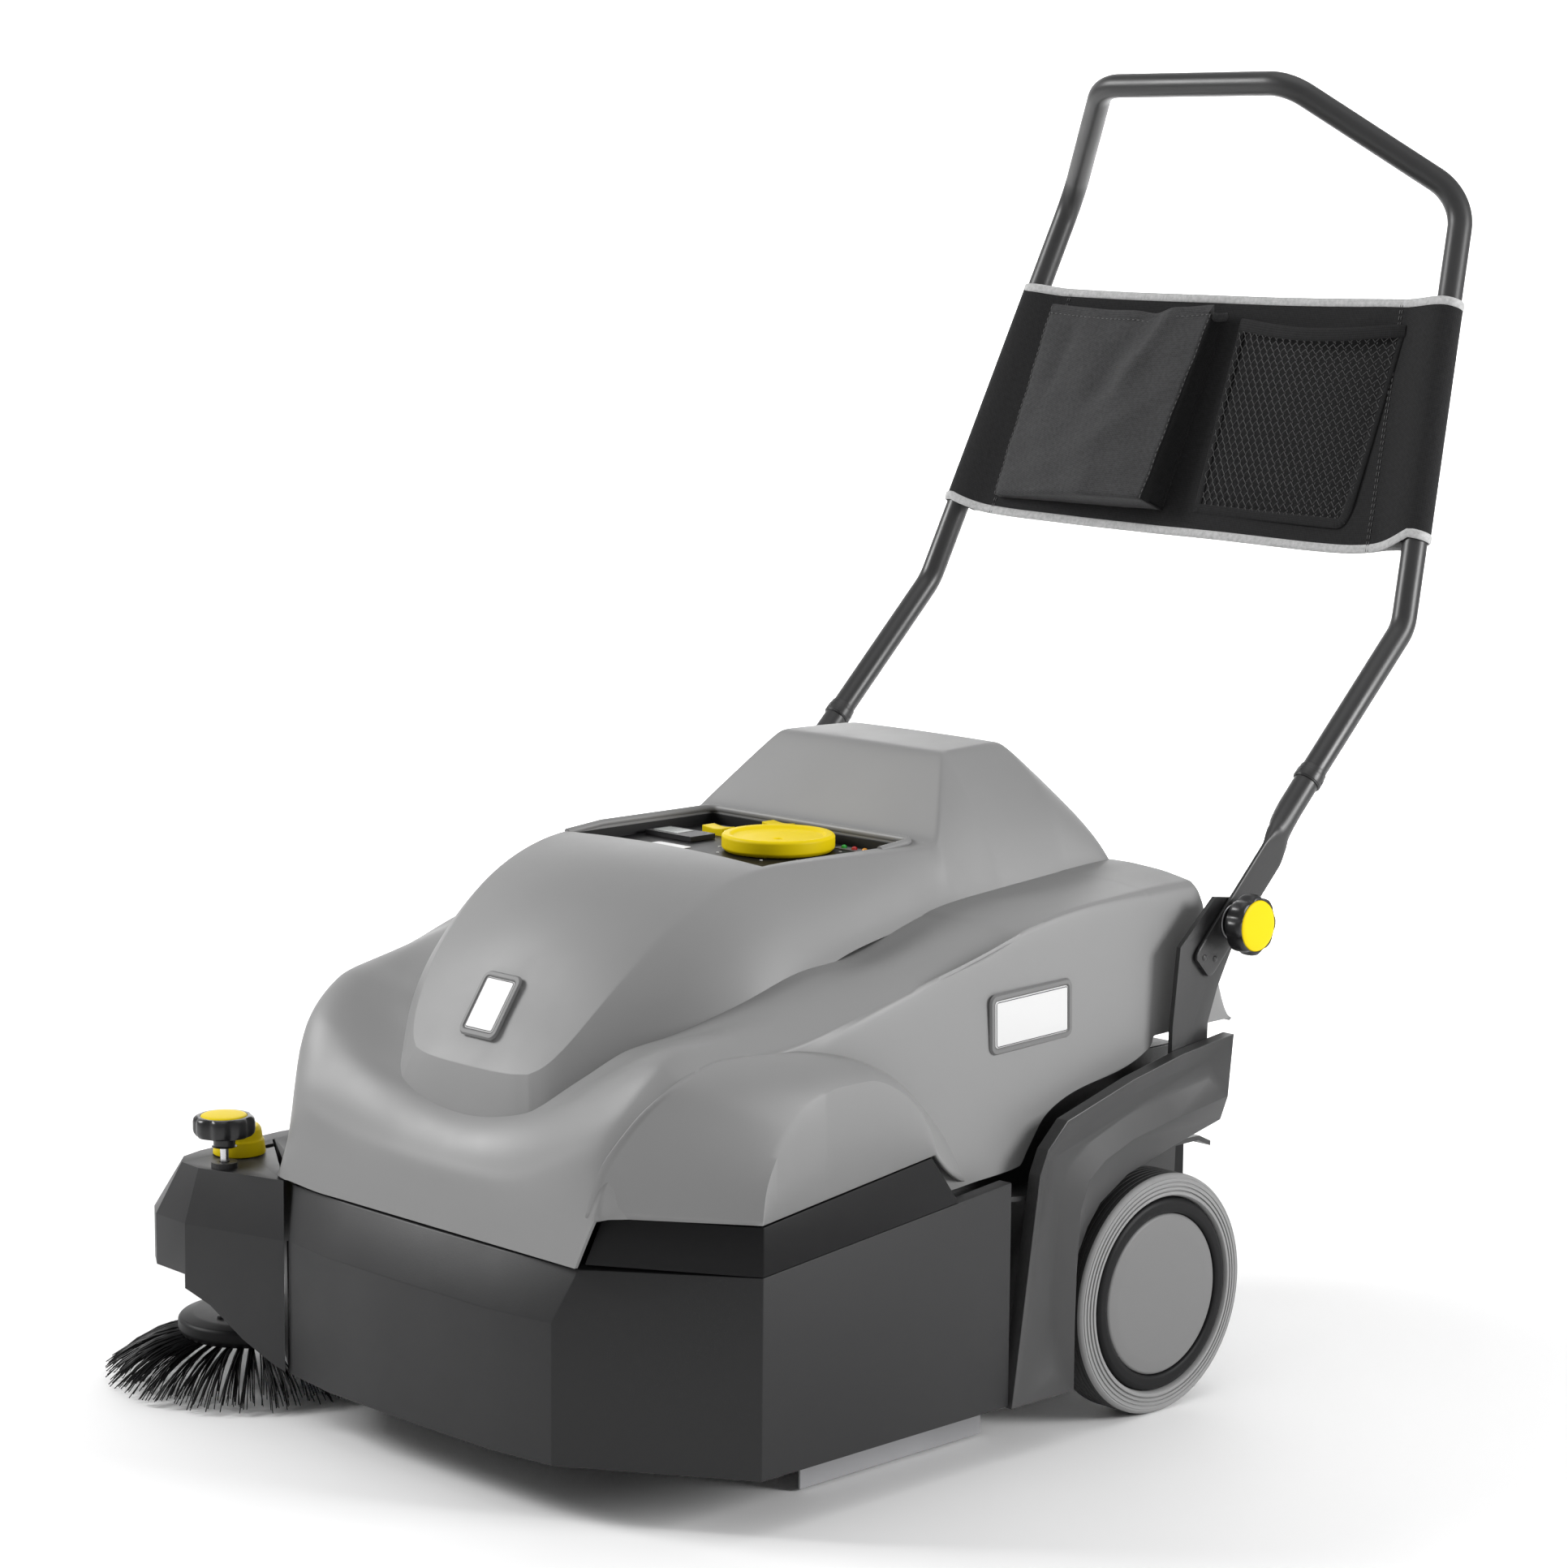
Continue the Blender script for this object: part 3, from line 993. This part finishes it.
# The lower tube's sections: distance from the clamp, half thickness, half width, distance from the middle
ARM_SECTIONS = [(-0.050, 0.0018, 0.0110, 0.2897), (-0.047, 0.0020, 0.0138, 0.2897),
                (-0.040, 0.0020, 0.0150, 0.2897), (0.070, 0.0020, 0.0150, 0.2897),
                (0.086, 0.0055, 0.0135, 0.2860), (0.104, 0.0100, 0.0115, 0.2815),
                (0.125, TUBE, TUBE, 0.2800), (0.1630, TUBE, TUBE, 0.2800)]
RING_PROFILE = [(0.0100, 0.0075), (0.0121, 0.0075), (0.0121, 0.0032), (0.0127, 0.0030),
                (0.0127, -0.0050), (0.0121, -0.0052), (0.0121, -0.0062), (0.0100, -0.0062)]
RIVET_PROFILE = [(0.0, 0.0009), (0.0016, 0.0008), (0.0027, 0.0003), (0.0030, -0.0004)]


def power(value, exponent):
    """The value raised to the exponent, with its sign kept."""
    return math.copysign(abs(value) ** exponent, value)


def add_joint_ring(bm, s):
    """The ring where the lower tube takes the upper one, with three round dimples."""
    ring = bmesh.new()
    lathe(ring, rounded(RING_PROFILE, 0.0006, 3), (0, 0, 0), "Z", 64)
    for k in range(3):
        spot = (Matrix.Rotation(math.radians(20 + 120 * k), 4, "Z")
                @ Matrix.Translation((0.0124, 0, -0.0010)) @ TURN["X"])
        dimple = bmesh.ops.create_uvsphere(ring, u_segments=16, v_segments=8, radius=0.0016)
        bmesh.ops.transform(ring, matrix=spot @ Matrix.Scale(0.5, 4, (0, 0, 1)), verts=dimple["verts"])
    ring.transform(Matrix.Translation(arm_point(0.1560, s * 0.2800))
                   @ Matrix.Rotation(SLOPE - math.pi / 2, 4, "X"))
    spare = bpy.data.meshes.new("ring")
    ring.to_mesh(spare)
    ring.free()
    bm.from_mesh(spare)
    bpy.data.meshes.remove(spare)


def handle():
    half = [arm_point(0.1633, JOINT.x), LOW, HIGH, TOP]
    route = [Vector((-p.x, p.y, p.z)) for p in half] + half[::-1]
    bm = bmesh.new()
    swept(bm, rounded_route(route, 0.045), TUBE, 36)
    piece("handle_upper_look", bm, COAT_BLACK, "handle", ("handle_upper_tube",))
    even = [*np.linspace(-0.050, -0.038, 10), *np.linspace(-0.030, 0.066, 10),
            *np.linspace(0.070, 0.125, 26), 0.140, 0.1630]
    sizes = monotone([a[0] for a in ARM_SECTIONS], [a[1:] for a in ARM_SECTIONS], even)
    for side, s in SIDES:
        rings = []
        for distance, (thick, wide, x) in zip(even, sizes):
            square = 2.0 + 3.5 * min(1.0, max(0.0, (0.008 - thick) / 0.006))
            turns = [2 * math.pi * (i + 0.5) / 48 for i in range(48)]
            rings.append([arm_point(distance, s * x + power(math.cos(turn), 2 / square) * thick,
                                    power(math.sin(turn), 2 / square) * wide) for turn in turns])
        bm = bmesh.new()
        made = add_grid(bm, rings, closed=True)
        bm.faces.new(made[0])
        bm.faces.new(made[-1])
        add_joint_ring(bm, s)
        for along, lift in ((-0.043, 0.0052), (-0.035, -0.0062)):
            lathe(bm, RIVET_PROFILE, arm_point(along, s * 0.2917, lift), "X", 24, s < 0)
        outward(bm)
        piece(f"handle_lower_{side}_look", bm, COAT_BLACK, "handle",
              (f"handle_lower_{side}",), 45)


# Side brush and roller


def bristle(bm, start, end, bend, root, tip, steps=5):
    """One bristle: a thin three-sided strand, curved and tapering to its tip."""
    start, end = Vector(start), Vector(end)
    middle = (start + end) / 2 + Vector(bend)
    rings = []
    for k in range(steps + 1):
        t = k / steps
        point = bezier(start, middle, end, t)
        ahead = ((middle - start) * (1 - t) + (end - middle) * t).normalized()
        side = ahead.cross(Vector((0.3, 0.2, 0.9))).normalized()
        up = ahead.cross(side)
        r = root + (tip - root) * t
        rings.append([point + (side * math.cos(a) + up * math.sin(a)) * r for a in (0.5, 2.594, 4.689)])
    bm.faces.new(add_grid(bm, rings, closed=True)[-1])


SIDE_BRUSH = (-0.300, -0.205)
HUB_PROFILE = [(0.0, 0.0660), (0.0140, 0.0660), (0.0165, 0.0590), (0.0300, 0.0575), (0.0500, 0.0562),
               (0.0600, 0.0535), (0.0620, 0.0510), (0.0620, 0.0430), (0.0590, 0.0386), (0.0, 0.0386)]
SCREW_PROFILE = [(0.0, 0.0590), (0.0040, 0.0590), (0.0045, 0.0560), (0.0045, 0.0545)]


def side_brush():
    draw = random.Random(7)
    x, y = SIDE_BRUSH
    bm = bmesh.new()
    tufts, strands, longest = 38, 17, 0.1255
    for t in range(tufts):
        turn = 2 * math.pi * t / tufts + draw.uniform(-0.02, 0.02)
        for _ in range(strands):
            a = turn + draw.uniform(-0.035, 0.035)
            b = turn + draw.uniform(-0.088, 0.088)
            inner = 0.0505 + draw.uniform(-0.004, 0.004)
            outer = draw.uniform(0.104, longest)
            end_z = 0.0022 + (longest - outer) * draw.uniform(0.1, 0.55) + draw.uniform(0.0, 0.006)
            bristle(bm, (x + inner * math.cos(a), y + inner * math.sin(a), 0.0392),
                    (x + outer * math.cos(b), y + outer * math.sin(b), end_z),
                    (0.010 * math.cos(a), 0.010 * math.sin(a), 0.0085 + draw.uniform(-0.002, 0.003)),
                    0.00105, 0.00050)
    piece("side_brush_bristles_look", bm, BRISTLE, "side_brush",
          ("side_brush_bristles",), None)
    bm = bmesh.new()
    lathe(bm, rounded(HUB_PROFILE, 0.0018), (x, y, 0.0), "Z", 112)
    for k in range(3):
        turn = math.radians(120 * k + 40)
        lathe(bm, rounded(SCREW_PROFILE, 0.0008, 3),
              (x + 0.036 * math.cos(turn), y + 0.036 * math.sin(turn), 0.0), "Z", 24)
    outward(bm)
    piece("side_brush_hub_look", bm, BLACK, "side_brush", ("side_brush_hub",), 35)


def roller():
    """Six rows of tufts that run from both ends towards the middle of the roller."""
    draw = random.Random(11)
    low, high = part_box("roller_bristles")
    centre = (Vector(low) + Vector(high)) / 2 - SHIFT
    inner = 0.0405
    outer = (high[2] - low[2]) / 2 - 0.0006
    half = (high[0] - low[0]) / 2 - 0.003
    bm = bmesh.new()
    rows, per_row, strands = 6, 46, 7
    for row in range(rows):
        for k in range(per_row):
            share = k / (per_row - 1)
            across = -half + 2 * half * share
            turn = 2 * math.pi * (row / rows + 0.35 * abs(2 * share - 1))
            for _ in range(strands):
                a = turn + draw.uniform(-0.02, 0.02)
                b = turn + draw.uniform(-0.07, 0.07)
                px = across + draw.uniform(-0.0015, 0.0015)
                qx = min(half, max(-half, across + draw.uniform(-0.005, 0.005)))
                reach = outer - draw.uniform(0.0, 0.003)
                bristle(bm, centre + Vector((px, inner * math.cos(a), inner * math.sin(a))),
                        centre + Vector((qx, reach * math.cos(b), reach * math.sin(b))),
                        (0.0, 0.0, 0.0), 0.0009, 0.0006, 2)
    piece("roller_bristles_look", bm, BRISTLE, "roller", ("roller_bristles",), None)


# Bag: a sleeve round both tubes, a box pocket and a net pocket

UP = (HIGH - LOW).normalized()
OUT = Vector((0.0, -UP.z, UP.y)).normalized()
BAG_LOW, BAG_HIGH = 0.20, 0.755
SLEEVE = 0.0126                              # the sleeve's radius round a tube
SEAM = 0.046                                 # from a tube's middle to the sleeve's seam
PANEL_OUT = 0.0032                           # the panel's face in front of the tubes' plane
# Creases, each as start and end in (u, v), width and depth
PANEL_FOLDS = (((0.86, 0.02), (0.10, 0.55), 0.050, 0.0020),
               ((-0.84, 0.95), (-0.35, 0.20), 0.045, -0.0016),
               ((0.80, 0.98), (0.30, 0.70), 0.040, 0.0014))
POCKET_FOLDS = (((0.66, 1.10), (0.40, 0.30), 0.080, -0.0052),
                ((0.80, 1.08), (0.62, 0.50), 0.050, 0.0040),
                ((1.00, 0.62), (0.50, 0.22), 0.060, 0.0028),
                ((0.02, 0.10), (0.60, 0.18), 0.060, 0.0014),
                ((0.20, 1.04), (0.12, 0.40), 0.050, -0.0026))
STITCH, STITCH_GAP, THREAD_RADIUS = 0.0034, 0.0024, 0.00038


def bag_at(share, x, out):
    """A point of the bag: share up the tubes, x in metres from the middle, out to the front."""
    place = LOW.lerp(HIGH, share)
    return Vector((x, place.y, place.z)) + OUT * out


def half_width(share):
    return LOW.x + (HIGH.x - LOW.x) * share


def fold(u, v, start, end, width, depth):
    """A soft crease along a line from start to end in the sheet's own (u, v)."""
    ax, ay = end[0] - start[0], end[1] - start[1]
    t = ((u - start[0]) * ax + (v - start[1]) * ay) / (ax * ax + ay * ay)
    side = ((u - start[0]) * ay - (v - start[1]) * ax) / math.hypot(ax, ay)
    along = max(0.0, 1 - (2 * t - 1) ** 2) if 0 <= t <= 1 else 0.0
    return depth * along * math.exp(-(side / width) ** 2)


def panel_shape(share):
    """The sleeve's section at this share, as (x, out), from one rear seam round the front to the other."""
    hx = half_width(share)
    left = [(hx - SEAM, 0.0016), (hx - SEAM * 0.6, -0.0060), (hx - 0.0100, -0.0118)]
    for turn in np.radians(np.linspace(-90, 90, 13)):
        left.append((hx + SLEEVE * math.cos(turn), SLEEVE * math.sin(turn)))
    for t in np.linspace(1 / 8, 1, 8):
        ease = t * t * (3 - 2 * t)
        left.append((hx - SEAM * t, SLEEVE + (PANEL_OUT - SLEEVE) * ease))
    front = [((hx - SEAM) * (1 - 2 * k / 60), PANEL_OUT) for k in range(1, 60)]
    return left + front + [(-x, out) for x, out in left[::-1]]


def panel_sag(x, hx):
    """How far the lower edge hangs below the line between the tubes."""
    u = x / hx
    return (0.0105 + 0.0080 * min(1.0, max(0.0, (u + 0.8) / 1.55))) * max(0.0, 1 - abs(u) ** 9)


def panel_point(share, x, out, v):
    """Adds the sag and the creases. v runs from 0 at the lower edge to 1 at the upper one."""
    hx = half_width(share)
    u = x / hx
    down = panel_sag(x, hx) * (1 - v) ** 1.4 + 0.003 * (1 - u * u) * v ** 3
    if abs(x) < hx - SEAM * 0.5:
        out += sum(fold(u, v, *crease) for crease in PANEL_FOLDS)
        out += 0.0016 * math.sin(7.0 * u + 2.5 * v) * (1 - u * u) * (0.4 + 0.6 * (1 - v))
        out = max(out, 0.0024)
    return bag_at(share, x, out) - UP * down


def panel_row(v):
    share = BAG_LOW + (BAG_HIGH - BAG_LOW) * v
    return [panel_point(share, x, out, v) for x, out in panel_shape(share)]


def bag_piece(name, bm, finishes, replaces=(), angle=None):
    return piece(name, bm, finishes, "handle", replaces, angle)


def lay_threads(bm, layer, places):
    """Gives each corner its vertex's place on the cloth, in metres."""
    for face in bm.faces:
        for loop in face.loops:
            loop[layer].uv = places[loop.vert]


def cloth(name, rows, finish, replaces, thickness, gusset=None):
    """A sewn sheet; its columns from gusset on are made of the plain dark cloth."""
    bm = bmesh.new()
    layer = bm.loops.layers.uv.new("cloth")
    places = {}
    ups = [0.0] * len(rows[0])
    for j, row in enumerate(add_grid(bm, rows)):
        along = 0.0
        for i, vert in enumerate(row):
            if i:
                along += (rows[j][i] - rows[j][i - 1]).length
            if j:
                ups[i] += (rows[j][i] - rows[j - 1][i]).length
            places[vert] = (along, ups[i])
    lay_threads(bm, layer, places)
    if gusset:
        bm.faces.ensure_lookup_table()
        for k, face in enumerate(bm.faces):
            face.material_index = int(k % (len(rows[0]) - 1) >= gusset)
    obj = bag_piece(name, bm, (finish, FABRIC), replaces)
    thicken(obj, thickness, 0.0)
    obj.data.shade_smooth()
    return obj


def tape(name, line, across, finish, half, thick):
    """A folded binding along an edge. across gives the direction from the edge into the cloth."""
    rows = []
    for i, point in enumerate(line):
        ahead = (line[min(i + 1, len(line) - 1)] - line[max(i - 1, 0)]).normalized()
        inward = across(point) if callable(across) else across
        inward = (inward - ahead * inward.dot(ahead)).normalized()
        normal = ahead.cross(inward)
        turns = [2 * math.pi * k / 10 for k in range(10)]
        rows.append([point + inward * (half * 0.8 + half * math.cos(turn))
                     + normal * thick * power(math.sin(turn), 0.6) for turn in turns])
    bm = bmesh.new()
    layer = bm.loops.layers.uv.new("cloth")
    made = add_grid(bm, rows, closed=True)
    places = {}
    along = 0.0
    for j, row in enumerate(made):
        if j:
            along += (rows[j][0] - rows[j - 1][0]).length
        for i, vert in enumerate(row):
            places[vert] = (along, i * 0.0022)
    bm.faces.new(made[0])
    bm.faces.new(made[-1])
    lay_threads(bm, layer, places)
    outward(bm)
    return bag_piece(name, bm, finish, angle=60)


def stitches(bm, line, lift):
    """Short threads along a line, standing a little proud of the cloth."""
    points = [p + lift for p in line]
    steps = [(b - a).length for a, b in zip(points, points[1:])]
    marks = np.concatenate([[0.0], np.cumsum(steps)])
    table = np.array([tuple(p) for p in points])
    place = 0.0
    while place + STITCH < sum(steps):
        ends = [Vector([np.interp(d, marks, table[:, c]) for c in range(3)])
                for d in (place, place + STITCH / 2, place + STITCH)]
        ends[1] += lift.normalized() * THREAD_RADIUS * 0.6
        swept(bm, ends, THREAD_RADIUS, 5)
        place += STITCH + STITCH_GAP


# Both pockets: left, right, low and high edge as shares of the panel, and depth in metres
BOX_POCKET = (-0.845, 0.005, 0.22, 0.705, 0.0330)
NET_POCKET = (0.085, 0.84, 0.22, 0.69, 0.0185)


FACE_COLUMNS, GUSSET_COLUMNS, SEAM_COLUMNS = 47, 8, 5
POCKET_ROWS, FOOT_ROWS = 44, 5


def box_point(u, depth, part, v, close):
    """A point of the pocket. part is left edge, face or gusset; close is -1 where it meets the panel."""
    left, right, low, high, deep = BOX_POCKET
    share = low + (high - low) * v
    x = half_width(share) * (left + 0.045 * (1 - v) + (right - 0.105 * (1 - v) - left) * u)
    reach = 0.012 + (deep * (1.16 - 0.40 * v) - 0.012) * min(1.0, u * 1.6) ** 0.9
    out = 0.0042 + (reach - 0.0042) * depth * (1 + close)
    bow = math.sin(math.pi * u)
    sag = (0.0062 * bow ** 1.2 + 0.0030 * math.exp(-((u - 0.66) / 0.07) ** 2)) * v ** 4
    if part == "face":
        out += -0.0035 * bow * v ** 2 + 0.0022 * bow * math.sin(math.pi * v) * (1 - 0.4 * v)
        out += sum(fold(u, v, *crease) for crease in POCKET_FOLDS)
        out += 0.0005 * math.sin(23 * u + 9 * v) + 0.0004 * math.sin(31 * v - 12 * u)
    if part == "gusset":
        x -= 0.0065 * math.sin(math.pi * depth) * (0.4 + 0.6 * v)
        sag = 0.004 * math.sin(math.pi * depth) * v ** 4
    return bag_at(share, x, out) - UP * sag


def box_pocket():
    """The front face leans out from its left seam to the gusset on the right; its mouth sags."""
    columns = [(0.0, k / SEAM_COLUMNS, "edge") for k in range(SEAM_COLUMNS)]
    columns += [(k / (FACE_COLUMNS - 1), 1.0, "face") for k in range(FACE_COLUMNS)]
    columns += [(1.0, 1 - k / GUSSET_COLUMNS, "gusset") for k in range(1, GUSSET_COLUMNS + 1)]
    rows = [[box_point(*column, max(0.0, j / POCKET_ROWS), min(0, j) / FOOT_ROWS) for column in columns]
            for j in range(-FOOT_ROWS, POCKET_ROWS + 1)]
    last = SEAM_COLUMNS + FACE_COLUMNS - 1
    pocket = cloth("box_pocket", rows, FABRIC_LIGHT, ("bag_pocket",), 0.0010, last)
    hem = tape("box_pocket_hem", rows[-1], -UP, FABRIC_LIGHT, 0.0042, 0.0011)
    bm = bmesh.new()
    stitches(bm, [p - UP * 0.0088 for p in rows[-1][SEAM_COLUMNS:last + 1]], OUT * 0.0012)
    for column in (SEAM_COLUMNS, last):
        stitches(bm, [row[column] for row in rows[FOOT_ROWS:]], OUT * 0.0009)
    thread = bag_piece("box_pocket_stitches", bm, THREAD)


def net_place(u, v):
    """A point of the net: u across, v up, bulging from its frame; a rounded lower corner."""
    left, right, low, high, deep = NET_POCKET
    share = low + (high - low) * v
    x = half_width(share) * (left + (right - left - 0.11 * (1 - v)) * u)
    bow = math.sin(math.pi * min(1.0, max(0.0, u)))
    bulge = bow ** 0.7 * (0.35 + 0.65 * v) * min(1.0, 6 * v + 0.05)
    out = 0.0052 + (deep - 0.0052) * bulge
    sag = 0.0110 * bow * v ** 5
    return bag_at(share, x, out) - UP * (sag + 0.004 * u * (1 - v))


def net_pocket():
    """A honeycomb of threads with a tape on each side; returns the net and its tapes."""
    across, up, thread = 22, 28, 0.00052
    lift = 0.36 / up
    bm = bmesh.new()
    for j in range(1, up):
        line = []
        for k in range(2 * across + 1):
            u, peak = k / (2 * across), (k + j) % 2 == 0
            line.append(net_place(u * 0.985, j / up + (lift if peak else -lift)))
            if peak and j + 1 < up and 0 < k < 2 * across:
                swept(bm, [net_place(u, j / up + lift), net_place(u, (j + 1) / up - lift)], thread, 4,
                      False)
        swept(bm, line, thread, 4, False)
    outward(bm)
    net = bag_piece("net_mesh", bm, NETTING, ("bag_net_pocket",))
    middle, corner = net_place(0.5, 0.5), net_place(1.0, 0.0)
    above, beside = net_place(1.0, 0.10), net_place(0.93, 0.0)
    border = [net_place(1.0, v) for v in np.linspace(1.0, 0.10, 30)]
    border += [above.lerp(corner, t).lerp(corner.lerp(beside, t), t) for t in np.linspace(0.1, 0.9, 6)]
    border += [net_place(u, 0.0) for u in np.linspace(0.93, 0.0, 40)]
    top = [net_place(u, 1.0) for u in np.linspace(0.0, 1.0, 40)]
    start = [net_place(0.0, v) for v in np.linspace(0.0, 1.0, 30)]
    return [net, tape("net_border", border, lambda point: middle - point, FABRIC, 0.0046, 0.0010),
            tape("net_hem", top, -UP, FABRIC, 0.0062, 0.0011),
            tape("net_side", start, lambda point: middle - point, FABRIC, 0.0040, 0.0010)]


def bag():
    steps, seam_column, seam_pitch, hems = 46, 23, 0.0022, 0.008
    rows = [panel_row(j / steps) for j in range(steps + 1)]
    panel = cloth("bag_panel_look", rows, FABRIC, ("bag_panel",), 0.0011)
    lower = tape("bag_binding_low", rows[0], UP, BINDING, 0.0042, 0.0015)
    upper = tape("bag_binding_high", rows[-1], -UP, BINDING, 0.0042, 0.0015)
    bm = bmesh.new()
    for column, s in ((seam_column, -1), (len(rows[0]) - 1 - seam_column, 1)):
        for shift in (0.0, s * seam_pitch):
            stitches(bm, [row[column] + Vector((shift, 0, 0)) for row in rows], OUT * 0.0010)
    thread = bag_piece("bag_seams", bm, THREAD)
    box_pocket()
    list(net_pocket())


def carried_over():
    """Better finishes on the CAD nodes that stay as they are."""
    finishes = {"chassis_frame": COAT_BLACK, "hood_hinge_pin": ZINC, "roller_motor": COAT_BLACK,
                "battery": BATTERY, "fan_housing": BLACK, "fan_motor": COAT_BLACK,
                "filter_cartridge": PAPER, "front_seal": RUBBER, "castor_wheel": RUBBER,
                "brush_rocker": ZINC, "roller_core": BLACK, "motor_pulley": ZINC, "drive_belt": RUBBER,
                "fan_impeller": ALUMINIUM, "waste_container": BLACK, "side_brush_motor": COAT_BLACK}
    for node, finish in finishes.items():
        for place in NODES[node].material_slots:
            place.link = "OBJECT"
            place.material = finish


# Light, floor and camera


AZIMUTH, ELEVATION, ROLL = (math.radians(a) for a in (45.56, 8.58, 0.39))
FLOOR_HALF = 9.0


def stage():
    """A pale floor that curves up behind the machine, square to the view."""
    line = [(-5.0 + 9.0 * t / 0.55, 0.0) for t in np.arange(13) / 23]
    for t in np.arange(13, 24) / 23:
        turn = math.radians(90 * (t - 0.55) / 0.45)
        line.append((4.0 + 2.0 * math.sin(turn), 2.0 - 2.0 * math.cos(turn)))
    line.append((6.0, 7.0))
    bm = bmesh.new()
    add_grid(bm, [[(x, y, z) for x in (-FLOOR_HALF, FLOOR_HALF)] for y, z in line])
    bm.transform(Matrix.Rotation(AZIMUTH, 4, "Z"))
    floor = linked("floor", smooth_mesh("floor", bm))
    floor.data.materials.append(moulded("floor_look", (0.93, 0.93, 0.93), 0.75, 200.0, 0.0, 0.004))


def area_light(name, place, aim, size, watts):
    light = bpy.data.lights.new(name, "AREA")
    light.energy, light.size = watts, size
    obj = linked(name, light)
    obj.location = place
    obj.rotation_euler = (Vector(aim) - Vector(place)).to_track_quat("-Z", "Y").to_euler()


def lights():
    world = bpy.data.worlds.new("studio")
    bpy.context.scene.world = world
    world.use_nodes = True
    background = world.node_tree.nodes["Background"]
    background.inputs["Color"].default_value = (1, 1, 1, 1)
    background.inputs["Strength"].default_value = 0.46
    bpy.context.scene.view_settings.view_transform = "Standard"
    middle = (0.0, 0.0, 0.35)
    area_light("front_left", (-2.9, -2.3, 2.6), middle, 1.5, 135.0)
    area_light("right_side", (3.4, 1.6, 1.5), middle, 1.3, 110.0)
    area_light("above", (0.3, 0.3, 3.4), middle, 2.6, 22.0)
    area_light("behind", (-1.4, 2.2, 2.8), (-3.4, 4.2, 0.4), 2.4, 260.0)


def camera():
    back = Vector((math.sin(AZIMUTH) * math.cos(ELEVATION), -math.cos(AZIMUTH) * math.cos(ELEVATION),
                   math.sin(ELEVATION)))
    right = (-back).cross(Vector((0, 0, 1))).normalized()
    up = right.cross(-back)
    across = right * math.cos(ROLL) + up * math.sin(ROLL)
    above = up * math.cos(ROLL) - right * math.sin(ROLL)
    data = bpy.data.cameras.new("photo_camera")
    data.lens, data.sensor_width, data.clip_end = 91.3, 36.0, 50.0
    obj = linked("photo_camera", data)
    turn = Matrix((across, above, back)).transposed().to_4x4()
    obj.matrix_world = Matrix.Translation(Vector((2.343, -2.170, 1.001)) + SHIFT) @ turn
    bpy.context.scene.camera = obj


hood()
plates()
mouldings()
console()
wheels()
knobs()
handle()
side_brush()
roller()
bag()
carried_over()
stage()
lights()
camera()
